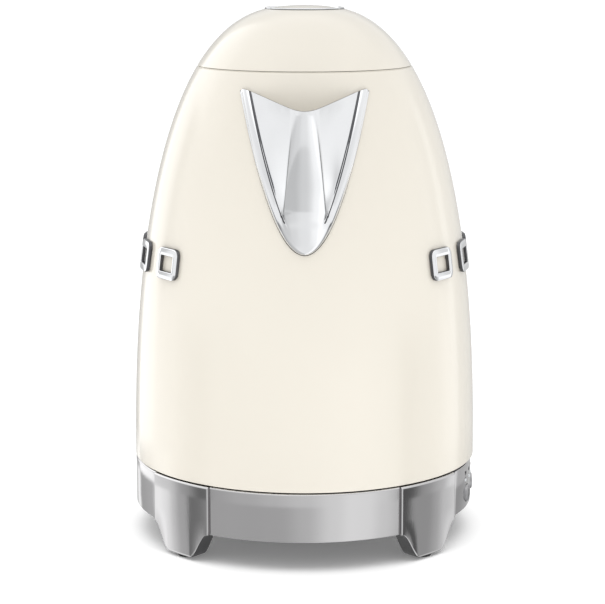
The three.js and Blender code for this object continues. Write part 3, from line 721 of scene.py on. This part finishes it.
# ---- filter ----
def make_filter():
    inner = lambda z: side_r(z) - WALL - 1.2

    def frame_face(u, v, deep):
        x, z = mix(-17, 17, u), mix(187, 216, v)
        return (x, -(math.sqrt(inner(z) ** 2 - x * x) - deep), z)

    faces = [lambda u, v: frame_face(u, v, 0), lambda u, v: frame_face(u, v, 2.4)]
    rim = plate("filter_frame", *faces, 24, 16)
    hole = [(-7.8, 193.2), (7.8, 193.2), (12.2, 212.5), (-12.2, 212.5)]
    rim = cut(rim, sweep("tool", [[(x, y, z) for x, z in hole] for y in (-80, -40)]))
    place(bevelled(rim, 0.3, 2), GREY, "filter", "filter_frame")

    def gauze_face(u, v):
        z = mix(193.8, 212, v)
        x = mix(-1, 1, u) * mix(7.6, 11.4, v)
        return (x, -(math.sqrt((side_r(z) - WALL - 2.1) ** 2 - x * x) - 0.35), z)

    wire_r = 0.16
    wires = [tube_mesh("wire", [gauze_face(i / 24, j / 20) for j in range(21)], wire_r, 6) for i in range(25)]
    wires += [
        tube_mesh("wire", [gauze_face(i / 20, j / 20) for i in range(21)], wire_r, 6) for j in range(21)
    ]
    place(joined("filter_mesh", *wires), STEEL, "filter", "filter_mesh")


make_filter()


# ---- jug inside and underside ----
PROBE = (24, 22)
ELEMENT_R = 54


def make_jug_inside():
    seat = soften([(46, 221.5), (47.3, 221.5), (47.3, 228.8), (51, 228.8), (51, 230), (46, 230, 0.6)])
    place(revolve("lid_seat", seat, 160), STEEL, "jug", "lid_seat")
    dish = [(0, 56), (82.4, 56), (83.6, 57.2), (83.6, 64), (82.4, 64), (82.4, 58, 1), (81, 57.3, 0.6)]
    dish += [(62, 57.3, 1), (60.5, 57.9, 0.5), (59, 57.3, 1), (0, 57.3)]
    probe_hole = revolve("tool", [(0, 50), (3.5, 50), (3.5, 62), (0, 62)], 32, PROBE)
    dish = cut(revolve("heater_plate", soften(dish, closed=False), 160), probe_hole)
    place(dish, STEEL, "jug", "heater_plate")
    probe = [(0, 47.5), (2, 47.5), (2, 54), (3, 54.2), (3, 60.5, 0.8), (2, 61.4, 0.6), (0, 61.6)]
    probe = revolve("temperature_probe", soften(probe, closed=False), 32, PROBE)
    place(probe, STEEL, "jug", "temperature_probe")
    ring = soften([(80.6, 51), (83.7, 51), (83.7, 55.6), (80.6, 55.6)], 0.8)
    place(revolve("plate_seal", ring, 128), SILICONE, "jug", "plate_seal")
    arc = [(*round_axis(ELEMENT_R, angle), 51.4) for angle in range(110, 431, 5)]
    place(tube_mesh("heating_element", arc, 3.9, 20), ELEMENT, "jug", "heating_element")
    under = [(21.8, 34.4), (30, 34.4, 1), (31, 35.1, 1), (36, 35.1, 1), (37, 34.4, 1), (78.6, 34.4, 1)]
    under += [(79, 39.4), (83.6, 39.4), (83.6, 41.4), (76.8, 41.4), (76.4, 36.4), (21.8, 36.4)]
    under = revolve("jug_bottom", soften(under), 160)
    holes = []
    for angle in JUG_SCREW_ANGLES:
        spot = round_axis(JUG_SCREW_AT, angle)
        holes.append(revolve("tool", [(0, 30), (3.5, 30), (3.5, 38), (0, 38)], 32, spot))
        cup = soften([(1.7, 36.95), (5.4, 36.95), (5.4, 39.4), (1.7, 39.4)], 0.2)
        place(revolve("jug_screw_boss", cup, 32, spot), BLACK, "jug", name=f"jug_screw_boss_{angle}")
    place(cut(under, *holes), BLACK, "jug", "jug_bottom")
    socket = [(0, 46.7), (21, 46.7, 0.8), (21, 35), (17, 35, 0.6), (14.9, 35.8, 0.4), (14.9, 44.8), (0, 44.8)]
    place(revolve("jug_socket", soften(socket, closed=False), 96), BLACK, "jug_socket", "jug_socket")


make_jug_inside()


# ---- lid ----
def make_lid_shell():
    low, high = LID_SEAM + SEAM_HALF, 260.15
    outer = side_line(low, high, 70, 0, 1.9)
    inner = side_line(low + 1.4, high - 0.7, 40, 1.7, 1.9)[::-1][1:]
    crown = [outer[-2], (outer[-1][0], high, 0.3), (19.8, high, 0.3), (19.8, high - 1.9), inner[0]]
    foot = [inner[-1], (side_r(low) - 1.9, low, 0.2), (*outer[0], 0.3), outer[1]]
    outline = outer[1:-2] + soften(crown, closed=False)
    outline += inner[1:-1] + soften(foot, steps=4, closed=False)[:-1]
    shell = revolve("lid_shell", outline, 240)
    place(cut(shell, box_mesh("tool", -6, 6, 42, 62, 228, 235.2)), ENAMEL, "lid", "lid_shell")


def make_button_ring():
    ring = [(17.45, 246), (18.9, 246), (18.9, 260.5, 0.05), (19.4, 260.5, 0.1), (19.4, 260.95, 0.3)]
    ring += [(17.9, 261.05, 0.4), (17.45, 260.6, 0.3)]
    place(revolve("button_ring", soften(ring, steps=4), 160), CHROME, "lid", "button_ring")
    # A dark grey band under the chrome ring's lip: painted shade for the shadow line at the ring's foot.
    shade_ring = soften([(18.95, 258.6), (19.45, 258.6), (19.45, 260.45), (18.95, 260.45)], 0.08)
    place(revolve("painted_shade_ring", shade_ring, 160), GREY, "lid")


def make_seam():
    """A light rim inside the gap between the jug and the lid."""
    seam = soften([(50.4, 232.2), (52.4, 232.2), (52.4, 232.68), (50.4, 232.68)], 0.15)
    place(revolve("mouth_rim", seam, 200), CREAM, "jug")


def make_button():
    button = [(0, 232.8), (0.4, 232.8), (3.2, 235.6), (3.2, 257.8), (15.2, 257.8), (15.2, 251), (17, 251)]
    button += [(17, 260.1, 0.8)]
    button += [(r, 260.55 + 1.45 * (1 - (r / 16.4) ** 2)) for r in (16.2, 14, 11.5, 9, 6.5, 4, 2)]
    button = soften(button + [(0, CROWN_Z)], closed=False)
    place(revolve("lid_button", button, 128), ENAMEL, "lid_button", "lid_button")
    coil_r, wire_r, low, high, steps = 7.4, 0.55, 237.7, 256.9, 160
    turns = [8 * math.pi * i / steps for i in range(steps + 1)]
    coil = [(coil_r * math.cos(a), coil_r * math.sin(a), mix(low, high, a / turns[-1])) for a in turns]
    coil = tube_mesh("button_spring", coil, wire_r, 12)
    spring = place(coil, STEEL, "lid", "button_spring", name="button_spring")
    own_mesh(spring)


def make_lid_inside():
    cup = [(0, 224.5), (20, 224.5, 1), (21, 225, 0.6), (22, 224.5, 1), (41, 224.5, 1), (42.9, 226, 1)]
    cup += [
        (42.9, 233.2), (49.2, 233.2), (49.2, 234.1), (41.7, 234.1), (41.7, 226.2), (40.4, 225.6), (0, 225.6),
    ]
    cup = soften(cup, closed=False)
    liner = cut(revolve("lid_liner", cup, 160), box_mesh("tool", -6.3, 6.3, -60, -38, 229.1, 232.9))
    tongue = bevelled(box_mesh("tongue", -4.2, 4.2, 47, HINGE_Y - 2.2, 233.2, 234.7), 0.3)
    barrel = cut(
        cross_bar("barrel", [(2.8, -4.2), (3.1, -3.9), (3.1, 3.9), (2.8, 4.2)], HINGE_Y, HINGE_Z),
        pin_tool(20),
    )
    place(joined("lid_liner", liner, tongue, barrel), STEEL, "lid", "lid_liner")
    lip = [(43.25, 225.4), (45, 226.2, 0.6), (44.2, 227.2, 0.6), (45, 228.2, 0.6), (43.25, 228.9)]
    place(revolve("lid_seal", soften(lip, 0.3), 160), SILICONE, "lid", "lid_seal")
    wedge_hole = box_mesh("tool", -3.8, 3.8, -7.2, 0.6, 228, 234)
    bolt = cut(box_mesh("latch", -5, 5, -44.9, 10, 229.7, 232.3), wedge_hole)
    place(bevelled(bolt, 0.35), GREY, "latch", "latch")


make_lid_shell()
make_button_ring()
make_seam()
make_button()
make_lid_inside()


# ---- power base ----
def pillar_r(off):
    """Radius of a pillar's face, a wide arc that touches PILLAR_R in its middle."""
    inset = PILLAR_ROUND - PILLAR_R
    a = math.radians(off)
    return math.sqrt(PILLAR_ROUND**2 - (inset * math.sin(a)) ** 2) - inset * math.cos(a)


EDGE_STEP = 0.22
SKIRT_WALL, LEG_THICK, DECK_R = 1.9, 8.1, 80
# The top edge from its inner to its outer end, as shares of its width inwards and downwards.
TOP_EDGE = ((1, 0), (0.75, 0.1), (0.6, 0.24), (0.35, 0.5), (0.12, 0.75), (0.03, 0.9), (0, 1.1))
# Rows of the legs' inner faces, given dark plastic as painted shade.
FACE_ROW, PAINTED_SHADE_ROWS = 7, range(12, 20)


def skirt_rings():
    """Sections of the skirt all round, close together where a pillar's foot and edges need it."""
    half = [0.0, 1.5, 3.0, 4.0] + [FOOT_HALF + 0.35 * i for i in range(23)]
    half += [PILLAR_HALF - EDGE_STEP, PILLAR_HALF - 0.12, PILLAR_HALF - 0.05, PILLAR_HALF, PILLAR_HALF + 0.06]
    half += [PILLAR_HALF + 0.7 + 1.25 * i for i in range(25)]
    offs = sorted(set([-m for m in half] + half))
    offs = [o for o in offs if -44.5 < o <= 44.5] + [45.0]
    rings = []
    for quarter in range(4):
        for off in offs:
            pillar = abs(off) <= PILLAR_HALF
            panel_side = (quarter == 0 and off < 0) or (quarter == 3 and off > 0)
            drop = 0.35 * (1 - clamp((PILLAR_HALF - abs(off)) / EDGE_STEP) ** 0.5) if pillar else 0.0
            outer = pillar_r(off) - drop if pillar else PANEL_R if panel_side else SKIRT_R
            share = 1 - ease(abs(off), FOOT_HALF, PILLAR_HALF - 0.4) if pillar else 0.0
            low = mix(SKIRT_LOW, FOOT_LOW, share)
            inner = (pillar_r(off) if pillar else outer) - SKIRT_WALL
            leg = mix(inner, inner - LEG_THICK, ease(share, 0, 0.3))
            edge = 0.4 if panel_side and not pillar else 0.8
            sole = mix(0.5, 1.5, share)
            section = [(outer - edge * x, BASE_TOP - edge * z) for x, z in TOP_EDGE]
            section += [(outer, 30), (outer, 22)]
            for k in range(7):
                a = math.pi / 2 * k / 6
                section.append((outer - sole * (1 - math.cos(a)), low + sole * (1 - math.sin(a))))
            section += [(outer - 1.75, low), (leg, low), (leg, 20), (inner, 21.5), (inner, BASE_TOP - 1.7)]
            section += [(DECK_R, BASE_TOP - 1.7), (DECK_R, BASE_TOP)]
            rings.append([(*round_axis(r, LEG_ANGLES[quarter] + off), z) for r, z in section])
    return rings


def arc_plate(name, inner, outer, low, high, half, steps=40):
    """A flat-ended arc of bar about +X."""
    rings = []
    for i in range(steps + 1):
        angle = mix(-half, half, i / steps)
        section = ((outer, low), (outer, high), (inner, high), (inner, low))
        rings.append([(*round_axis(r, angle), z) for r, z in section])
    return sweep(name, rings)


def make_screw(node, distance, angle, z, length, body):
    """A cross-head screw that points up, with its head's face at z."""
    spot = round_axis(distance, angle)
    head = [(0, z + 0.2), (2.4, z, 0.6), (3.1, z + 0.7, 0.4), (3.1, z + 1.7, 0.1)]
    shank = [(1.3, z + 1.7), (1.3, z + length - 2), (0, z + length)]
    mesh = revolve(node, soften(head + shank, closed=False), 32, spot)
    slots = [box_mesh("tool", -x, x, -y, y, z - 1, z + 1) for x, y in ((1.7, 0.3), (0.3, 1.7))]
    for slot_mesh in slots:
        slot_mesh.transform(Matrix.Translation((spot[0] * MM, spot[1] * MM, 0)))
    place(cut(mesh, *slots), STEEL, body, node)


def knob_holes(inner):
    return [
        radial_bar("tool", [(KNOB_HOLE_R, inner), (KNOB_HOLE_R, 90)], angle, BUTTON_Z)
        for angle in BUTTONS.values()
    ]


def make_skirt():
    rings = skirt_rings()
    face = [math.hypot(*ring[FACE_ROW][:2]) for ring in rings]

    def inside(i, k):
        """1 for the leg's inner faces, in dark plastic as painted shade, and 2 for the low side walls where a
        pillar leaves the skirt, in darker steel as painted shade.
        """
        step = face[(i + 1) % len(rings)] - face[i]
        if k in PAINTED_SHADE_ROWS:
            return 1
        return 2 if k < PAINTED_SHADE_ROWS[0] and abs(step) > 0.6 else 0

    skirt = sweep("base_skirt", rings, closed=True, kinds=inside)
    for finish in (SATIN, BLACK, PAINTED_SHADE_STEEL):
        skirt.materials.append(finish)
    pad_hole = [(0, -1), (4.2, -1), (4.2, 3.2), (0, 3.2)]
    tools = [revolve("tool", pad_hole, 32, round_axis(PAD_AT, angle)) for angle in LEG_ANGLES]
    tools += knob_holes(70)
    tools.append(arc_plate("tool", 78, 90, LIGHT_Z - 1.3, LIGHT_Z + 1.3, 20))
    tools.append(box_mesh("tool", -6, 6, 70, 90, 10, 22))
    place(cut(skirt, *tools), [SATIN, BLACK, PAINTED_SHADE_STEEL], "base", "base_skirt", sharp=30)


def make_panel():
    panel = arc_plate("control_panel", PANEL_R + 0.35, PANEL_FACE, SKIRT_LOW + 0.4, BASE_TOP - 1, 29, 60)
    tools = [radial_bar("tool", [(1.3, 80), (1.3, 90)], angle, LIGHT_Z, 24) for angle in LIGHT_ANGLES]
    place(cut(bevelled(panel, 0.3, 3), *knob_holes(80), *tools), SATIN, "base", "control_panel")
    knob = [(0.01, 76), (2.6, 76), (3, 76.5), (5, 76.9), (5, 78), (4.2, 78)]
    knob += [(4.2, 84.7), (4.05, 85.05), (3.7, 85.25), (2.5, 85.38), (0.01, 85.4)]
    for node, angle in BUTTONS.items():
        place(radial_bar(node, knob, angle, BUTTON_Z), KNOB, node, node)
    bar = arc_plate("light_guide", 79.5, 80.4, LIGHT_Z - 1.1, LIGHT_Z + 1.1, 19.5, 40)
    pip = [(0.95, 80.3), (0.95, 84.3), (0.8, 84.45), (0.5, 84.55), (0.01, 84.6)]
    pips = [radial_bar("pip", pip, angle, LIGHT_Z, 24) for angle in LIGHT_ANGLES]
    place(joined("light_guide", bar, *pips), LIGHTS, "base", "light_guide")


def make_deck():
    deck = [(15, 33.9), (30, 33.9, 1), (32, 32.9, 1), (36, 32.9, 1), (38, 33.9, 1), (72, 33.9, 1)]
    deck += [(73, 33.3, 0.7), (74, 33.9, 1), (79.1, 33.9), (79.1, 28), (77.5, 28), (77.5, 31.6), (15, 31.6)]
    place(revolve("base_deck", soften(deck), 160), BLACK, "base", "base_deck")
    tower = [(0, 24), (20, 24), (20, 31), (14, 31), (14, 43, 0.8), (13, 44, 0.6), (11.2, 44), (11.2, 37)]
    tower += [(8.4, 37), (8.4, 44), (4.2, 44), (4.2, 36), (0, 36)]
    place(revolve("base_connector", soften(tower, 0.3, closed=False), 96), BLACK, "base", "base_connector")
    ring = soften([(9.2, 37.3), (10.6, 37.3), (10.6, 42.5), (9.2, 42.5)], 0.4)
    place(revolve("contact_ring_outer", ring, 64), BRASS, "base", "contact_ring_outer")
    pin = soften([(0, 36.3), (2.2, 36.3), (2.2, 42.3, 0.8), (0, 42.8)], closed=False)
    place(revolve("contact_pin", pin, 32), BRASS, "base", "contact_pin")


def make_bottom():
    """The base's bottom with its cord-wrap drum, screw holes and notches for the legs and the cord outlet."""
    bottom = [
        (0, 16.3), (80, 16.3), (80, 15), (42, 15), (42, 6.8), (52, 6.8), (52, 5.2), (40, 5.2), (40, 15),
        (0, 15),
    ]
    bottom = revolve("base_bottom", soften(bottom, 0.5, closed=False), 160)
    tools = []
    for angle in LEG_ANGLES:
        screw_hole = [(0, 10), (1.9, 10), (1.9, 20), (0, 20)]
        tools.append(revolve("tool", screw_hole, 24, round_axis(BASE_SCREW_AT, angle)))
        corners = [turned(p, angle) for p in ((75.2, -20, 0), (90, -20, 0), (90, 20, 0), (75.2, 20, 0))]
        tools.append(sweep("tool", [[(x, y, z) for x, y, _ in corners] for z in (10, 20)]))
    tools.append(box_mesh("tool", -6, 6, 71.5, 90, 10, 20))
    place(cut(bottom, *tools), BLACK, "base", "base_bottom")


def make_pads_and_screws():
    pad = [(0, 0.35), (2.2, 0.35, 0.3), (2.7, 0, 0.3), (3.2, 0), (3.9, 0.7, 0.5), (3.9, 2.8), (0, 2.8)]
    for i, angle in enumerate(LEG_ANGLES, 1):
        node = f"foot_pad_{i}"
        mesh = revolve("foot_pad", soften(pad, closed=False), 48, round_axis(PAD_AT, angle))
        place(mesh, RUBBER, "base", node, name=node)
        make_screw(f"base_screw_{i}", BASE_SCREW_AT, angle, 12.9, 14, "base")
    for i, angle in enumerate(JUG_SCREW_ANGLES, 1):
        make_screw(f"jug_screw_{i}", JUG_SCREW_AT, angle, 34.9, 12, "jug")


def make_cord_outlet():
    gland = box_mesh("cord_outlet", -5.6, 5.6, 72, 85.7, 14.6, 21.6)
    gland = bevelled(gland, 0.7, 4)
    bore = bar_mesh("tool", [(3.4, 0), (3.4, 40)], (0, 60, 18.1), (0, 1, 0), (1, 0, 0), (0, 0, 1), 48)
    place(cut(gland, bore), RUBBER, "base", "cord_outlet")


make_skirt()
make_panel()
make_deck()
make_bottom()
make_pads_and_screws()
make_cord_outlet()


# ---- marks on the control panel ----
def wrap_marks(name, mesh, angle, z, radius, size, body="base"):
    """Bends a flat drawing, about 1 unit high and centred on its origin, round the panel as thin ink."""
    points = []
    for v in mesh.vertices:
        a = math.radians(angle) + v.co.x * size / radius
        r = radius + (0.12 if v.co.z > 0 else -0.05)
        points.append((r * math.cos(a), r * math.sin(a), z + v.co.y * size))
    made = build_mesh(name, points, [tuple(p.vertices) for p in mesh.polygons])
    return place(made, INK, body, name=name)


def text_mesh(words):
    curve = bpy.data.curves.new("words", "FONT")
    curve.body = words
    curve.align_x, curve.align_y = "CENTER", "CENTER"
    curve.extrude = 0.02
    curve.resolution_u = 6
    temp = added("words", curve)
    bpy.context.view_layer.update()
    made = bpy.data.meshes.new_from_object(temp.evaluated_get(bpy.context.evaluated_depsgraph_get()))
    bpy.data.objects.remove(temp)
    return made


def flat_shape(loops):
    """A thin drawing from closed loops of points."""
    points, faces = [], []
    for loop in loops:
        n, start = len(loop), len(points)
        points += [(x, y, -0.02) for x, y in loop] + [(x, y, 0.02) for x, y in loop]
        faces.append(tuple(range(start, start + n)))
        faces.append(tuple(range(start + 2 * n - 1, start + n - 1, -1)))
        for k in range(n):
            faces.append((start + k, start + (k + 1) % n, start + n + (k + 1) % n, start + n + k))
    mesh = bpy.data.meshes.new("shape")
    mesh.from_pydata(points, [], faces)
    return mesh


def make_marks():
    for angle, words in zip(LIGHT_ANGLES, TEMPERATURES):
        wrap_marks(f"mark_{words}", text_mesh(words), angle, 32.6, PANEL_FACE, 2.5)
    arrow = [(-0.35, -0.5), (0.55, 0), (-0.35, 0.5)]
    tube = [(-0.13, -0.2), (0.13, -0.2), (0.13, 0.6), (-0.13, 0.6)]
    bulb = [(x, y - 0.35) for x, y in (round_axis(0.28, 15 * k) for k in range(24))]
    bowl = [(-0.5, 0.05), (-0.35, -0.45), (0.35, -0.45), (0.5, 0.05)]
    steam = [[(x - 0.06, 0.2), (x + 0.06, 0.2), (x + 0.06, 0.6), (x - 0.06, 0.6)] for x in (-0.25, 0, 0.25)]
    icons = {"start_button": [arrow], "temperature_button": [tube, bulb], "keep_warm_button": [bowl, *steam]}
    for node, loops in icons.items():
        wrap_marks(f"{node}_icon", flat_shape(loops), BUTTONS[node], BUTTON_Z, 85.28, 3.6, node)


make_marks()

# ---- carried-over CAD nodes ----
FINISHES = {
    "hinge_spring": STEEL, "lid_frame": GREY, "thermal_control": BLACK,
    "relay_module": BLACK, "control_board": BOARD,
}
for node, finish in FINISHES.items():
    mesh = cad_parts[node].data
    mesh.materials.clear()
    mesh.materials.append(finish)

# ---- studio ----
FLOOR_Z = CAD_BOX[0].z
# Brightness round the studio: pairs of azimuth (0 is the front, + the right) and value, at five heights.
TABLE_WALL = [
    (-180, 0.68), (-161, 0.72), (-158, 1.15), (-152, 1.15), (-149, 0.48), (-127, 0.6), (-120, 1.1),
    (-110, 1.38), (-102, 1.2), (-97, 0.86), (-92.5, 0.6), (-87, 0.57), (-85, 0.22), (-79.5, 0.25),
    (-73.5, 0.34), (-69, 0.55), (-15, 0.56), (0, 0.68), (20, 1.0), (32, 1.14), (43, 1.1), (55, 0.92),
    (67, 0.76), (72, 0.1), (76, 0.14), (81, 0.45), (92, 0.43), (98, 0.57), (104, 0.8), (118, 1.0),
    (131, 0.42), (180, 0.68),
]
LOW_WALL = [
    (-180, 0.62), (-155, 0.5), (-147, 1.5), (-124, 1.5), (-120, 1.15), (-100, 0.95), (-88, 0.5), (-76, 0.2),
    (-69, 0.24), (-63, 0.55), (-40, 0.64), (-20, 0.72), (0, 0.82), (20, 1.0), (32, 1.14), (43, 1.1),
    (54, 0.95), (63, 0.78), (69, 0.1), (77, 0.14), (88, 0.45), (101, 0.7), (110, 1.1), (124, 1.15),
    (129, 0.6), (150, 0.62), (180, 0.62),
]
MIDDLE_WALL = [
    (-180, 0.6), (-155, 0.5), (-147, 1.5), (-132, 1.4), (-124, 1.2), (-120, 0.62), (-114, 0.62),
    (-108, 0.9), (-60, 0.88), (-35, 0.9), (-15, 0.84), (0, 0.84), (15, 0.86), (35, 0.92), (60, 0.9),
    (108, 0.92), (113, 0.72), (117, 0.72), (121, 1.15), (126, 1.15), (130, 0.7), (160, 0.68), (180, 0.6),
]
HIGH_WALL = [
    (-180, 0.85), (-156, 0.85), (-149, 1.7), (-116, 1.6), (-100, 1.2), (-67, 0.84), (0, 0.78), (100, 0.92),
    (120, 1.0), (127, 0.9), (160, 0.85), (180, 0.85),
]
CEILING = 1.3


def make_studio():
    floor_mesh = bpy.data.meshes.new("floor")
    edge = 30.0
    corners = [(x * edge, y * edge, FLOOR_Z) for x, y in ((-1, -1), (1, -1), (1, 1), (-1, 1))]
    floor_mesh.from_pydata(corners, [], [(0, 1, 2, 3)])
    floor = added("floor", floor_mesh)
    paper = dict(Emission_Color=(1, 1, 1, 1), Emission_Strength=0.14)
    floor_mesh.materials.append(material("floor", (0.93, 0.93, 0.93), 0.8, vary=0.004, scale=3, **paper))
    floor.visible_glossy = False

    world = bpy.data.worlds.new("studio")
    bpy.context.scene.world = world
    world.use_nodes = True
    tree, link = world.node_tree, world.node_tree.links.new
    tree.nodes.clear()
    where = add_node(tree, "TexCoord")
    axes = add_node(tree, "SeparateXYZ")
    link(where.outputs["Generated"], axes.inputs["Vector"])
    flip = add_node(tree, "Math")
    flip.operation = "MULTIPLY"
    flip.inputs[1].default_value = -1.0
    link(axes.outputs["Y"], flip.inputs[0])
    turn = add_node(tree, "Math")
    turn.operation = "ARCTAN2"
    link(axes.outputs["X"], turn.inputs[0])
    link(flip.outputs[0], turn.inputs[1])
    share = add_node(tree, "MapRange", From_Min=-math.pi, From_Max=math.pi)
    link(turn.outputs[0], share.inputs["Value"])

    def panorama(stops):
        """Colour all round, from pairs of azimuth and brightness; a ramp holds up to 1, so it is halved."""
        ramp = add_node(tree, "ValToRGB")
        ramp.color_ramp.interpolation = "EASE"
        elements = ramp.color_ramp.elements
        for i, (degrees, value) in enumerate(stops):
            at = (degrees + 180) / 360
            e = elements[i] if i < 2 else elements.new(at)
            e.position = at
            e.color = (value / 2, value / 2, value / 2, 1)
        link(share.outputs["Result"], ramp.inputs["Fac"])
        return ramp.outputs["Color"]

    def blend(low, high, start, end):
        """Goes from one colour to another between two heights of the direction."""
        height = add_node(tree, "MapRange", From_Min=start, From_Max=end)
        height.interpolation_type = "SMOOTHSTEP"
        link(axes.outputs["Z"], height.inputs["Value"])
        choice = add_node(tree, "Mix")
        choice.data_type = "RGBA"
        link(height.outputs["Result"], choice.inputs["Factor"])
        link(low, choice.inputs[6])
        link(high, choice.inputs[7])
        return choice.outputs[2]

    ceiling = add_node(tree, "RGB")
    ceiling.outputs[0].default_value = (CEILING / 2, CEILING / 2, CEILING / 2, 1)
    around = panorama(TABLE_WALL)
    for wall, start, end in ((LOW_WALL, -0.25, -0.235), (MIDDLE_WALL, -0.12, -0.02), (HIGH_WALL, 0.24, 0.36)):
        around = blend(around, panorama(wall), start, end)
    sky = add_node(tree, "Background", Strength=2.0)
    link(blend(around, ceiling.outputs[0], 0.6, 0.85), sky.inputs["Color"])
    white = add_node(tree, "Background", Color=(1, 1, 1, 1), Strength=1.05)
    seen = add_node(tree, "LightPath")
    choose = add_node(tree, "MixShader")
    link(seen.outputs["Is Camera Ray"], choose.inputs["Fac"])
    link(sky.outputs[0], choose.inputs[1])
    link(white.outputs[0], choose.inputs[2])
    out = add_node(tree, "OutputWorld")
    link(choose.outputs[0], out.inputs["Surface"])

    lamp = bpy.data.lights.new("table_light", "AREA")
    lamp.shape, lamp.size, lamp.size_y, lamp.energy = "RECTANGLE", 2.2, 2.2, 24
    table_light = added("table_light", lamp)
    spot, aim = Vector((0, AXIS_Y - 0.2, 2.2)), Vector((0, AXIS_Y, 0.13))
    table_light.location = spot
    table_light.rotation_mode = "QUATERNION"
    table_light.rotation_quaternion = (aim - spot).to_track_quat("-Z", "Y")
    table_only = bpy.data.collections.new("table_only")
    table_only.objects.link(floor)
    table_light.light_linking.receiver_collection = table_only


make_studio()
bpy.context.scene.view_settings.view_transform = "Standard"
